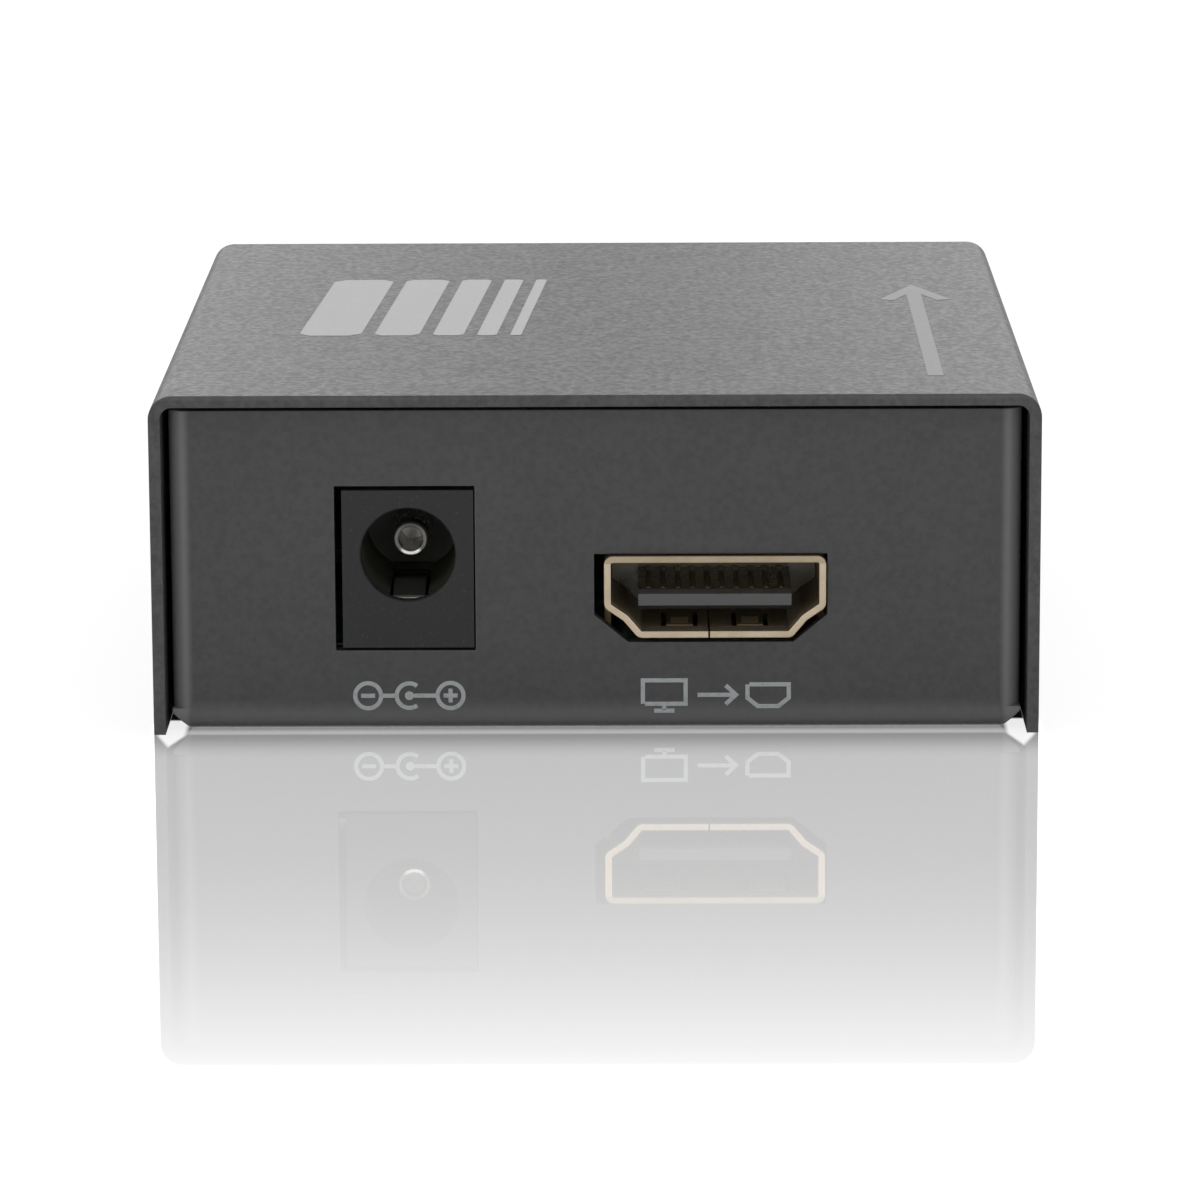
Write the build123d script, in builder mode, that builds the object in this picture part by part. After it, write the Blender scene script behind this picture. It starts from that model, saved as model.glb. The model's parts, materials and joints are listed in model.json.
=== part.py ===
from build123d import *
import os

# Video extender, sending end: a small box of folded sheet steel. Its front panel has a DC inlet and
# a video socket, its rear panel a network socket and a status lamp.
# Millimetres, +Z up, front panel towards -Y. The origin is the middle of the underside.

# Case
case_width = 60.0
case_depth = 62.0
case_height = 23.4
cover_sheet = 0.8
cover_bend = 0.8  # inside radius of the two long bends
case_gap = 0.4  # between the cover and the chassis, at the top and the sides
chassis_sheet = 1.0
chassis_bend = 0.25  # inside radius
panel_recess = 1.0  # the panels stand behind the cover's edges
corner_cut = 1.3  # lower corners of the panels, at 45 degrees
flange_length = 9.0
flange_lift = 1.6  # lower edge of the side flanges above the underside
cut_overrun = 4.0
seat_gap = 0.03  # between pieces that seat in each other

# Ventilation slots in the sides of the cover
vent_length = 9.0
vent_width = 1.5
vent_pitch = 3.2
vent_count = 6
vent_z = 12.0

# Countersunk screws through the sides of the cover
cover_screw_inset = 5.5  # behind the panel's face
cover_screw_z = 13.0
cover_screw_radius = 1.5
cover_screw_length = 5.0
collar_wall = 0.9  # drawn collar in the flange that takes the thread
collar_height = 1.2
drive_span = 2.8  # cross recess in every screw head
drive_slot = 0.6
drive_depth = 0.8

# Circuit board, its standoffs and screws
board_thickness = 1.6
board_gap = 0.4  # between the board and the panels
board_side_gap = 0.8  # between the board and the side flanges
board_corner = 1.0
board_screw_inset_x = 3.5
board_screw_inset_y = 4.1
board_screw_radius = 1.25
board_screw_reach = 4.0  # length under the head
board_head_radius = 2.25
board_head_height = 1.4
board_head_chamfer = 0.45
hidden_sides = 24  # screw shanks and holes inside the case are round enough with this many sides
standoff_height = 3.2
standoff_flats = 4.2  # across the flats of the hexagon pressed into the floor
standoff_seat = 3.8  # across the flats above the floor
lead_stub = 0.8  # how far leads stand out under the board
lead_hole_gap = 0.15  # round each lead and leg that goes through the board

# Video socket
video_place_share = 0.2806  # places of the sockets are shares of the panels' half width
video_lift = 0.7  # underside of the shell above the board
video_proud = 0.3  # rim in front of the panel
video_width = 15.0
video_height = 5.65
video_foot_width = 10.4  # narrow lower side
video_knee_width = 12.4
video_knee_height = 1.2
video_side_height = 2.1  # where the upright sides begin
video_round = 0.6
video_wall = 0.45
video_length = 11.0
video_seam = 0.12  # slit where the two edges of the sheet meet
video_seam_x = -0.4
video_finger_length = 5.0  # spring fingers that grip the plug
video_finger_slot = 0.35
video_finger_root = 7.0  # behind the rim
video_top_finger_width = 2.4
video_top_finger_x = 3.6
video_foot_finger_width = 1.8
video_foot_finger_x = 2.4
finger_bump_length = 1.4
finger_bump_height = 0.3
finger_bump_back = 1.1  # middle of the bump behind the finger's tip
video_leg_width = 1.4
video_leg_places = (3.6, 9.2)  # behind the rim
video_leg_rise = 3.0  # where the legs leave the sides, above the underside of the shell
video_block_start = 8.0  # the moulded block fills the shell from here to its back
tongue_width = 10.4
tongue_thick = 1.4
tongue_height = 2.42  # middle of the tongue above the underside of the shell
tongue_recess = 1.0
tongue_chamfer = 0.3
video_contact_width = 0.3
video_contact_thick = 0.2
video_contact_proud = 0.05
video_contact_pitch = 1.0
video_contact_recess = 0.6  # behind the tip of the tongue
video_upper_contacts = 10
video_lower_contacts = 9
video_lower_drop = 0.5  # from the back of the shell to the lower row's tails
video_upper_drop = 1.1
video_contact_foot = 0.9

# Cut-out for the video socket
video_hole_width = 15.78
video_hole_height = 6.13
video_hole_shift = 0.29  # the hole sits this far to the left of the socket
video_hole_corner = 2.3
video_hole_corner_height = 1.9
video_hole_below = 0.36  # under the underside of the shell

# DC jack
dc_place_share = -0.4403
dc_face_width = 8.9
dc_face_height = 10.9
dc_flange = 3.3
dc_arch_radius = 4.2
dc_length = 13.6
dc_axis_height = 6.44  # axis of the bore above the board
dc_bore_radius = 3.2
dc_bore_depth = 10.5
dc_mouth_chamfer = 0.1
dc_pin_radius = 1.25
dc_pin_recess = 5.0
dc_pin_hollow_radius = 0.85
dc_pin_hollow_depth = 4.0
dc_pin_chamfer = 0.15
dc_stem_radius = 0.8
dc_plate_width = 2.4  # terminal plate of the pin
dc_plate_thick = 0.5
dc_hole_left = 0.5  # gaps between the face and the edges of its cut-out
dc_hole_right = 0.1
dc_hole_top = 0.3
dc_hole_foot = 0.2
dc_channel_width = 2.6
dc_channel_floor = 1.5  # above the board
dc_channel_top = 3.6
dc_channel_start = 0.8
dc_channel_end = 12.0

# Sleeve spring of the DC jack: a leaf that hinges at its root and presses up on the plug
leaf_width = 2.2
leaf_thick = 0.3
leaf_root = 11.0  # behind the face
leaf_root_height = 2.5  # above the board
leaf_crest = 3.8
leaf_crest_height = 3.85
leaf_tip = 1.3
leaf_tip_height = 3.05
leaf_bend = 0.9
ear_start = 8.8
ear_end = 10.2
ear_reach = 3.2
terminal_gap = 0.2  # between a moving spring and its fixed terminal
sleeve_terminal_rise = 0.3  # above the root of the leaf
switch_width = 1.0
switch_thick = 0.25
switch_reach = 1.7  # from the axis to the inner end of the switch contact
switch_gap = 0.12  # over the ear
switch_pocket_start = 8.5
switch_pocket_end = 10.7

# Network jack
net_place_share = -0.2083
net_proud = 0.3
net_width = 16.0
net_headroom = 3.0  # between the top of the jack and the top of the panels
net_depth = 16.0
net_sheet = 0.25
net_face_recess = 0.25  # moulding behind the front edge of the shield
net_back_gap = 0.5
net_mouth_width = 11.9
net_mouth_height = 6.9
net_floor_height = 2.6  # above the board
net_floor_plate = 0.9
net_step_width = 6.2
net_step_height = 1.35
net_latch_width = 4.0
net_latch_height = 1.2
net_cavity_depth = 12.5
net_hole_gap = 0.2
net_leg_width = 1.6
net_leg_places = (5.0, 11.5)
net_finger_width = 2.2
net_finger_length = 4.5
net_finger_slot = 0.3
net_finger_root = 6.8
net_top_finger_x = 4.0
net_side_finger_z = 6.2
net_contact_count = 8
net_contact_pitch = 1.02
net_contact_wire = 0.4
net_contact_root = 2.75
net_contact_rise = 0.55  # of the root above the cavity's floor
net_contact_knee = 7.0
net_contact_knee_rise = 2.35
net_contact_tip = 12.0
net_contact_tip_rise = 3.4
net_contact_bend = 3.0
net_tail_rows = (8.0, 10.54)
net_tail_drop = 1.65  # lower run of the tails under the cavity's floor
net_trench_start = 1.8
net_trench_margin = 0.3
net_slot_end = 2.95
net_insert_start = 11.0
net_insert_margin = 0.8
net_insert_height = 7.4
net_comb_depth = 1.6
net_comb_slot = 0.62
net_comb_top = 4.4  # above the cavity's floor
net_lamp_width = 3.0
net_lamp_height = 2.2
net_lamp_depth = 6.0
net_lamp_x = 6.0
net_lamp_drop = 1.9  # from the top of the jack to the middle of its lamps

# Status lamp
lamp_place_share = 0.4861
lamp_z = 9.6
lamp_radius = 1.5
lamp_proud = 1.0
lamp_chamfer = 0.5
lamp_length = 4.2
lamp_flange_radius = 1.9
lamp_flange_thick = 0.8
lamp_hole_gap = 0.1
lamp_lead = 0.5
lamp_lead_pitch = 1.27
lamp_lead_reach = 1.6  # from the flange to the bend

# Main chip, its pad and heat sink
chip_side = 10.0
chip_height = 1.4
chip_stand = 0.1
chip_chamfer = 0.6
chip_lead_count = 11
chip_lead_pitch = 0.8
chip_lead_width = 0.35
chip_lead_thick = 0.15
chip_lead_reach = 1.0
chip_place_share = (0.3, -0.035)
pad_side = 9.0
pad_height = 0.5
sink_side = 12.0
sink_base = 1.5
sink_fin_height = 5.0
sink_fin_thick = 0.8
sink_fin_count = 7

# Small pieces on the board; places are shares of the board's half width and half depth
regulator_length = 6.5
regulator_width = 3.5
regulator_height = 1.6
regulator_tab_width = 3.0
regulator_tab_reach = 1.7
regulator_tab_thick = 0.3
regulator_leg_width = 0.7
regulator_leg_pitch = 2.3
regulator_place_share = (-0.77, -0.31)
inductor_side = 6.0
inductor_height = 2.8
inductor_corner = 1.4
inductor_place_share = (-0.42, -0.3)
can_radius = 2.5
can_height = 5.4
can_base_side = 5.3
can_base_height = 0.8
can_chamfer = 0.4
can_pitch = 7.6
can_place_share = (-0.77, 0.14)
ceramic_size = (1.6, 0.8, 0.8)
ceramic_pitch = 2.4
ceramic_count = 5
ceramic_gap = 0.8  # beside the leads of the main chip
resistor_size = (1.6, 0.8, 0.45)
resistor_pitch_x = 3.0
resistor_pitch_y = 2.0
resistor_rows = 4
resistor_place_share = (-0.48, 0.03)
crystal_length = 11.0
crystal_width = 4.6
crystal_height = 3.4
crystal_rim = 0.35
crystal_rim_height = 0.5
crystal_depth_share = 0.33
memory_length = 5.0
memory_width = 4.0
memory_height = 1.5
memory_leads = 4
memory_lead_pitch = 1.27
memory_gap = 1.0  # beside the ceramic capacitors
memory_depth_share = -0.18
surge_size = (2.9, 1.6, 1.1)
surge_pitch = 6.0
surge_gap = 2.5  # behind the tails of the video socket
choke_size = (3.2, 3.2, 2.6)
choke_pitch = 4.0
choke_count = 4
choke_waist = 0.4
choke_gap = 1.2  # in front of the network jack

# Levels and edges that follow from the sizes above
side_face = case_width / 2
cover_inner = side_face - cover_sheet
panel_half_width = cover_inner - case_gap
panel_face = case_depth / 2 - panel_recess
panel_back = panel_face - chassis_sheet
panel_top = case_height - cover_sheet - case_gap
floor_half_width = panel_half_width - corner_cut
board_foot = chassis_sheet + standoff_height
board_top = board_foot + board_thickness
board_half_depth = panel_back - board_gap
board_half_width = panel_half_width - chassis_sheet - board_side_gap
board_screw_x = board_half_width - board_screw_inset_x
board_screw_y = board_half_depth - board_screw_inset_y
lead_end = board_foot - lead_stub
cover_screw_y = panel_face - cover_screw_inset
cover_screw_head_radius = cover_screw_radius + cover_sheet + case_gap
video_x = video_place_share * panel_half_width
video_face = panel_face + video_proud
video_foot = board_top + video_lift
video_top = video_foot + video_height
tongue_z = video_foot + tongue_height
dc_x = dc_place_share * panel_half_width
dc_axis = board_top + dc_axis_height
net_x = net_place_share * panel_half_width
net_face = panel_face + net_proud
net_floor = board_top + net_floor_height
net_height = panel_top - net_headroom - board_top
lamp_x = lamp_place_share * panel_half_width


def facing(end, reach, x=0.0, z=0.0):
    """Upright plane at y = end * reach that faces outwards, with its own x to the right as seen."""
    return Plane(origin=(x, end * reach, z), x_dir=(-end, 0, 0), z_dir=(0, end, 0))


def inward(end, reach, x=0.0):
    """Upright plane whose own x runs into the case from y = end * reach, and whose y is the height."""
    return Plane(origin=(x, end * reach, 0), x_dir=(0, -end, 0), z_dir=(-end, 0, 0))


def side_plane(side):
    """Upright plane on the right (1) or left (-1) side of the cover, facing outwards."""
    return Plane(origin=(side * side_face, 0, 0), x_dir=(0, side, 0), z_dir=(side, 0, 0))


def on_board(share):
    """Place on the board, from shares of its half width and half depth."""
    return (share[0] * board_half_width, share[1] * board_half_depth)


def row(count, pitch):
    """Places of a row of pieces about its middle."""
    return [(i - (count - 1) / 2) * pitch for i in range(count)]


def save(built, name):
    """Label a finished piece and write it."""
    built.part.label = name
    export_step(built.part, "parts/" + name + ".step")


def video_profile():
    """Points of the video socket's outline, wide side up, from its lower left corner."""
    foot, knee, side = video_foot_width / 2, video_knee_width / 2, video_width / 2
    return [
        (-foot, 0),
        (foot, 0),
        (knee, video_knee_height),
        (side, video_side_height),
        (side, video_height),
        (-side, video_height),
        (-side, video_side_height),
        (-knee, video_knee_height),
    ]


os.makedirs("parts", exist_ok=True)

# Cover: top and two sides in one folded sheet
cover_wall_x = side_face - cover_sheet / 2
cover_roof_z = case_height - cover_sheet / 2
with BuildPart() as top_cover:
    with BuildSketch(Plane.XZ):
        with BuildLine():
            FilletPolyline(
                (-cover_wall_x, 0),
                (-cover_wall_x, cover_roof_z),
                (cover_wall_x, cover_roof_z),
                (cover_wall_x, 0),
                radius=cover_bend + cover_sheet / 2,
            )
        trace(line_width=cover_sheet)
    extrude(amount=case_depth / 2, both=True)
    for side in (1, -1):
        with BuildSketch(side_plane(side)):
            with Locations((-cover_screw_y, cover_screw_z), (cover_screw_y, cover_screw_z)):
                Circle(cover_screw_head_radius + seat_gap)
        extrude(amount=-cover_sheet, taper=45, mode=Mode.SUBTRACT)
        with BuildSketch(side_plane(side)):
            with Locations((0, vent_z)):
                with GridLocations(vent_pitch, 0, vent_count, 1):
                    Rectangle(vent_width, vent_length)
        extrude(amount=-cover_sheet, mode=Mode.SUBTRACT)
save(top_cover, "top_cover")

# Chassis: floor, two panels and four side flanges in one folded sheet
panel_mid = panel_face - chassis_sheet / 2
flange_x = panel_half_width - chassis_sheet / 2
bend_mid = chassis_bend + chassis_sheet / 2
strip_half_depth = panel_back - chassis_bend
dc_hole_width = dc_face_width + dc_hole_left + dc_hole_right
dc_hole_height = dc_face_height + dc_hole_top + dc_hole_foot
video_hole_foot = video_foot - video_hole_below
hole_side = video_hole_width / 2
with BuildPart() as base_chassis:
    with BuildSketch(Plane.YZ):
        with BuildLine():
            FilletPolyline(
                (-panel_mid, flange_lift),
                (-panel_mid, chassis_sheet / 2),
                (panel_mid, chassis_sheet / 2),
                (panel_mid, flange_lift),
                radius=bend_mid,
            )
        trace(line_width=chassis_sheet)
    extrude(amount=panel_half_width, both=True)
    # The floor is narrower than the panels, whose lower corners are cut
    with BuildSketch(Plane.XY):
        for side in (1, -1):
            with Locations((side * (floor_half_width + cut_overrun / 2), 0)):
                Rectangle(cut_overrun, 2 * strip_half_depth)
    extrude(amount=flange_lift, mode=Mode.SUBTRACT)
    with BuildSketch(Plane.XZ):
        for side in (1, -1):
            Polygon(
                (side * floor_half_width, 0),
                (side * panel_half_width, 0),
                (side * panel_half_width, corner_cut),
                align=None,
            )
    extrude(amount=case_depth / 2, both=True, mode=Mode.SUBTRACT)
    # Each panel runs round into its two side flanges
    for end in (-1, 1):
        with BuildSketch(Plane.XY.offset(flange_lift)):
            with BuildLine():
                FilletPolyline(
                    (-flange_x, end * (panel_face - flange_length)),
                    (-flange_x, end * panel_mid),
                    (flange_x, end * panel_mid),
                    (flange_x, end * (panel_face - flange_length)),
                    radius=bend_mid,
                )
            trace(line_width=chassis_sheet)
        extrude(amount=panel_top - flange_lift)
    # Drawn collars for the cover screws
    for side in (1, -1):
        with BuildSketch(side_plane(side).offset(-cover_sheet - case_gap - chassis_sheet)):
            with Locations((-cover_screw_y, cover_screw_z), (cover_screw_y, cover_screw_z)):
                RegularPolygon(cover_screw_radius + collar_wall, hidden_sides)
        extrude(amount=-collar_height)
        with BuildSketch(side_plane(side)):
            with Locations((-cover_screw_y, cover_screw_z), (cover_screw_y, cover_screw_z)):
                RegularPolygon(cover_screw_radius + seat_gap, hidden_sides)
        extrude(amount=-cover_sheet - case_gap - chassis_sheet - collar_height, mode=Mode.SUBTRACT)
    # Hexagonal holes that hold the standoffs
    with BuildSketch(Plane.XY):
        with GridLocations(2 * board_screw_x, 2 * board_screw_y, 2, 2):
            RegularPolygon(standoff_flats / 2 + seat_gap, 6, major_radius=False)
    extrude(amount=chassis_sheet, mode=Mode.SUBTRACT)
    # Cut-outs of the front panel
    with BuildSketch(facing(-1, panel_face)):
        with Locations((dc_x + (dc_hole_right - dc_hole_left) / 2, board_top - dc_hole_foot)):
            Rectangle(dc_hole_width, dc_hole_height, align=(Align.CENTER, Align.MIN))
        with Locations((video_x - video_hole_shift, video_hole_foot)):
            Polygon(
                (-hole_side + video_hole_corner, 0),
                (hole_side - video_hole_corner, 0),
                (hole_side, video_hole_corner_height),
                (hole_side, video_hole_height),
                (-hole_side, video_hole_height),
                (-hole_side, video_hole_corner_height),
                align=None,
            )
    extrude(amount=-chassis_sheet, mode=Mode.SUBTRACT)
    # Cut-outs of the rear panel
    with BuildSketch(facing(1, panel_face)):
        with Locations((-net_x, board_top - net_hole_gap)):
            Rectangle(
                net_width + 2 * net_hole_gap,
                net_height + 2 * net_hole_gap,
                align=(Align.CENTER, Align.MIN),
            )
        with Locations((-lamp_x, lamp_z)):
            Circle(lamp_radius + lamp_hole_gap)
    extrude(amount=-chassis_sheet, mode=Mode.SUBTRACT)
save(base_chassis, "base_chassis")

# Countersunk screws, heads flush with the sides of the cover
with BuildPart() as cover_screws:
    for side in (1, -1):
        with BuildSketch(side_plane(side)):
            with Locations((-cover_screw_y, cover_screw_z), (cover_screw_y, cover_screw_z)):
                Circle(cover_screw_head_radius)
        extrude(amount=-cover_sheet - case_gap, taper=45)
        with BuildSketch(side_plane(side).offset(-cover_sheet - case_gap)):
            with Locations((-cover_screw_y, cover_screw_z), (cover_screw_y, cover_screw_z)):
                RegularPolygon(cover_screw_radius, hidden_sides)
        extrude(amount=-cover_screw_length + cover_sheet + case_gap)
        with BuildSketch(side_plane(side)):
            with Locations((-cover_screw_y, cover_screw_z), (cover_screw_y, cover_screw_z)):
                Rectangle(drive_span, drive_slot)
                Rectangle(drive_slot, drive_span)
        extrude(amount=-drive_depth, mode=Mode.SUBTRACT)
save(cover_screws, "cover_screws")

# Standoffs, pressed into the floor from below
with BuildPart() as board_standoffs:
    with BuildSketch(Plane.XY):
        with GridLocations(2 * board_screw_x, 2 * board_screw_y, 2, 2):
            RegularPolygon(standoff_flats / 2, 6, major_radius=False)
    extrude(amount=chassis_sheet)
    with BuildSketch(Plane.XY.offset(chassis_sheet)):
        with GridLocations(2 * board_screw_x, 2 * board_screw_y, 2, 2):
            RegularPolygon(standoff_seat / 2, 6, major_radius=False)
    extrude(amount=standoff_height)
    with BuildSketch(Plane.XY.offset(board_foot)):
        with GridLocations(2 * board_screw_x, 2 * board_screw_y, 2, 2):
            RegularPolygon(board_screw_radius + seat_gap, hidden_sides)
    extrude(amount=-standoff_height, mode=Mode.SUBTRACT)
save(board_standoffs, "board_standoffs")

# Pan head screws that hold the board
with BuildPart() as board_screws:
    with BuildSketch(Plane.XY.offset(board_top)):
        with GridLocations(2 * board_screw_x, 2 * board_screw_y, 2, 2):
            RegularPolygon(board_head_radius, hidden_sides)
    extrude(amount=board_head_height)
    chamfer(board_screws.edges().group_by(Axis.Z)[-1], length=board_head_chamfer)
    with BuildSketch(Plane.XY.offset(board_top)):
        with GridLocations(2 * board_screw_x, 2 * board_screw_y, 2, 2):
            RegularPolygon(board_screw_radius, hidden_sides)
    extrude(amount=-board_screw_reach)
    with BuildSketch(Plane.XY.offset(board_top + board_head_height)):
        with GridLocations(2 * board_screw_x, 2 * board_screw_y, 2, 2):
            Rectangle(drive_span, drive_slot)
            Rectangle(drive_slot, drive_span)
    extrude(amount=-drive_depth, mode=Mode.SUBTRACT)
save(board_screws, "board_screws")

# Circuit board, with the slots and holes that leads and legs go through
dc_plate_y = -panel_face + dc_length + dc_plate_thick / 2
sleeve_terminal_y = -panel_face + leaf_root + terminal_gap + leaf_thick / 2
switch_y = -panel_face + (ear_start + ear_end) / 2
switch_leg_x = dc_x + dc_arch_radius - switch_thick / 2
lamp_bend = lamp_flange_thick + lamp_length - lamp_proud + lamp_lead_reach
lamp_bend_y = panel_face - lamp_bend
hole_margin = 2 * lead_hole_gap
with BuildPart() as circuit_board:
    with BuildSketch(Plane.XY.offset(board_foot)) as circuit_outline:
        Rectangle(2 * board_half_width, 2 * board_half_depth)
        chamfer(circuit_outline.vertices(), length=board_corner)
        with GridLocations(2 * board_screw_x, 2 * board_screw_y, 2, 2):
            RegularPolygon(board_screw_radius + lead_hole_gap, hidden_sides, mode=Mode.SUBTRACT)
        for place in video_leg_places:
            for side in (1, -1):
                leg_x = video_x + side * (video_width - video_wall) / 2
                with Locations((leg_x, -video_face + place)):
                    Rectangle(
                        video_wall + hole_margin, video_leg_width + hole_margin, mode=Mode.SUBTRACT
                    )
        for place in net_leg_places:
            for side in (1, -1):
                with Locations((net_x + side * (net_width - net_sheet) / 2, net_face - place)):
                    Rectangle(net_sheet + hole_margin, net_leg_width + hole_margin, mode=Mode.SUBTRACT)
        for i, x in enumerate(row(net_contact_count, net_contact_pitch)):
            with Locations((net_x + x, net_face - net_tail_rows[i % 2])):
                Rectangle(
                    net_contact_wire + hole_margin, net_contact_wire + hole_margin, mode=Mode.SUBTRACT
                )
        with Locations((dc_x, dc_plate_y)):
            Rectangle(dc_plate_width + hole_margin, dc_plate_thick + hole_margin, mode=Mode.SUBTRACT)
        with Locations((dc_x, sleeve_terminal_y)):
            Rectangle(leaf_width + hole_margin, leaf_thick + hole_margin, mode=Mode.SUBTRACT)
        with Locations((switch_leg_x, switch_y)):
            Rectangle(switch_thick + hole_margin, switch_width + hole_margin, mode=Mode.SUBTRACT)
        for x in row(2, lamp_lead_pitch):
            with Locations((lamp_x + x, lamp_bend_y)):
                Rectangle(lamp_lead + hole_margin, lamp_lead + hole_margin, mode=Mode.SUBTRACT)
    extrude(amount=board_thickness)
save(circuit_board, "circuit_board")

# Video socket: shell folded from one sheet, with spring fingers and four legs
video_front = facing(-1, video_face, video_x, video_foot)
video_fingers = [
    (video_top_finger_x, video_top_finger_width, video_top, -1),
    (video_foot_finger_x, video_foot_finger_width, video_foot, 1),
]
with BuildPart() as video_socket_shell:
    with BuildSketch(video_front):
        with BuildLine():
            FilletPolyline(*video_profile(), radius=video_round, close=True)
        make_face()
        offset(amount=-video_wall, mode=Mode.SUBTRACT)
    extrude(amount=-video_length)
    # Spring fingers cut out of the upper and lower sides, each with a bump that grips the plug
    for finger_x, finger_width, level, towards in video_fingers:
        for side in (1, -1):
            middle = video_x + side * finger_x
            tip_y = -video_face + video_finger_root - video_finger_length
            with BuildSketch(Plane.XY.offset(level)):
                with Locations((middle, tip_y - video_finger_slot)):
                    Rectangle(
                        finger_width + 2 * video_finger_slot,
                        video_finger_length + video_finger_slot,
                        align=(Align.CENTER, Align.MIN),
                    )
                with Locations((middle, tip_y)):
                    Rectangle(
                        finger_width,
                        video_finger_length,
                        align=(Align.CENTER, Align.MIN),
                        mode=Mode.SUBTRACT,
                    )
            extrude(amount=towards * video_wall, mode=Mode.SUBTRACT)
            bump_y = video_finger_root - video_finger_length + finger_bump_back
            bump_z = level + towards * video_wall
            with BuildSketch(inward(-1, video_face, middle)):
                Polygon(
                    (bump_y - finger_bump_length / 2, bump_z),
                    (bump_y, bump_z + towards * finger_bump_height),
                    (bump_y + finger_bump_length / 2, bump_z),
                    align=None,
                )
            extrude(amount=finger_width / 3, both=True)
    with BuildSketch(Plane.XY.offset(video_foot)):
        with Locations((video_x + video_seam_x, -video_face)):
            Rectangle(video_seam, video_length, align=(Align.CENTER, Align.MIN))
    extrude(amount=video_wall, mode=Mode.SUBTRACT)
    for side in (1, -1):
        leg_x = video_x + side * (video_width - video_wall) / 2
        for place in video_leg_places:
            with BuildSketch(Plane.XY.offset(lead_end)):
                with Locations((leg_x, -video_face + place)):
                    Rectangle(video_wall, video_leg_width)
            extrude(amount=video_foot + video_leg_rise - lead_end)
save(video_socket_shell, "video_socket_shell")

# Video socket: moulded block with its tongue, grooved for the contacts
video_rows = [
    (video_upper_contacts, 1, video_upper_drop),
    (video_lower_contacts, -1, video_lower_drop),
]
contact_level = (tongue_thick - video_contact_thick) / 2 + video_contact_proud
contact_start = tongue_recess + video_contact_recess
with BuildPart() as video_socket_insulator:
    with BuildSketch(video_front.offset(-video_block_start)):
        with BuildLine():
            FilletPolyline(*video_profile(), radius=video_round, close=True)
        make_face()
        offset(amount=-video_wall - seat_gap, mode=Mode.REPLACE)
    extrude(amount=-video_length + video_block_start)
    with BuildSketch(video_front.offset(-tongue_recess)):
        with Locations((0, tongue_height)):
            Rectangle(tongue_width, tongue_thick)
    extrude(amount=-video_block_start + tongue_recess)
    tip_edges = video_socket_insulator.edges().group_by(Axis.Y)[0].filter_by(Axis.X)
    chamfer(tip_edges, length=tongue_chamfer)
    for count, up, drop in video_rows:
        with BuildSketch(video_front.offset(-contact_start + seat_gap)):
            with Locations((0, tongue_height + up * contact_level)):
                with GridLocations(video_contact_pitch, 0, count, 1):
                    Rectangle(
                        video_contact_width + 2 * seat_gap, video_contact_thick + 2 * seat_gap
                    )
        extrude(amount=-video_length, mode=Mode.SUBTRACT)
save(video_socket_insulator, "video_socket_insulator")

# Video socket: two rows of contacts, along the tongue and down to the board
with BuildPart() as video_socket_contacts:
    for count, up, drop in video_rows:
        level = tongue_z + up * contact_level
        foot_level = board_top + video_contact_thick / 2
        for x in row(count, video_contact_pitch):
            with BuildSketch(inward(-1, video_face, video_x + x)):
                with BuildLine():
                    Polyline(
                        (contact_start, level),
                        (video_length + drop, level),
                        (video_length + drop, foot_level),
                        (video_length + drop + video_contact_foot, foot_level),
                    )
                trace(line_width=video_contact_thick)
            extrude(amount=video_contact_width / 2, both=True)
save(video_socket_contacts, "video_socket_contacts")

# DC jack: moulded housing with its bore and the channel under it for the sleeve spring
dc_front = facing(-1, panel_face, dc_x, board_top)
leaf_slope = (leaf_crest_height - leaf_root_height) / (leaf_root - leaf_crest)
ear_levels = [board_top + leaf_root_height + leaf_slope * (leaf_root - s) for s in (ear_end, ear_start)]
switch_foot = ear_levels[1] + leaf_thick / 2 + switch_gap
with BuildPart() as dc_jack_housing:
    with BuildSketch(dc_front):
        Rectangle(dc_face_width, dc_face_height, align=(Align.CENTER, Align.MIN))
    extrude(amount=-dc_flange)
    with BuildSketch(dc_front.offset(-dc_flange)):
        with Locations((0, dc_axis_height)):
            Circle(dc_arch_radius)
        Rectangle(2 * dc_arch_radius, dc_axis_height, align=(Align.CENTER, Align.MIN))
    extrude(amount=-dc_length + dc_flange)
    with BuildSketch(dc_front):
        with Locations((0, dc_axis_height)):
            Circle(dc_bore_radius)
    extrude(amount=-dc_bore_depth, mode=Mode.SUBTRACT)
    mouth = dc_jack_housing.edges().filter_by(GeomType.CIRCLE).group_by(Axis.Y)[0]
    chamfer(mouth, length=dc_mouth_chamfer)
    with BuildSketch(dc_front.offset(-dc_bore_depth)):
        with Locations((0, dc_axis_height)):
            Circle(dc_stem_radius + seat_gap)
    extrude(amount=-dc_length + dc_bore_depth, mode=Mode.SUBTRACT)
    with BuildSketch(dc_front.offset(-dc_channel_start)):
        with Locations((0, dc_channel_floor)):
            Rectangle(
                dc_channel_width,
                dc_channel_top - dc_channel_floor,
                align=(Align.CENTER, Align.MIN),
            )
    extrude(amount=-dc_channel_end + dc_channel_start, mode=Mode.SUBTRACT)
    # Slot for the sleeve terminal, and the pocket of the switch contact
    with BuildSketch(Plane.XY.offset(board_top)):
        with Locations((dc_x, sleeve_terminal_y)):
            Rectangle(dc_channel_width, leaf_thick + 2 * lead_hole_gap)
    extrude(amount=dc_channel_floor, mode=Mode.SUBTRACT)
    with BuildSketch(Plane.XY.offset(board_top)):
        with Locations((dc_x + dc_channel_width / 2, -panel_face + switch_pocket_start)):
            Rectangle(
                dc_arch_radius,
                switch_pocket_end - switch_pocket_start,
                align=(Align.MIN, Align.MIN),
            )
    extrude(amount=switch_foot + switch_thick + seat_gap - board_top, mode=Mode.SUBTRACT)
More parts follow.
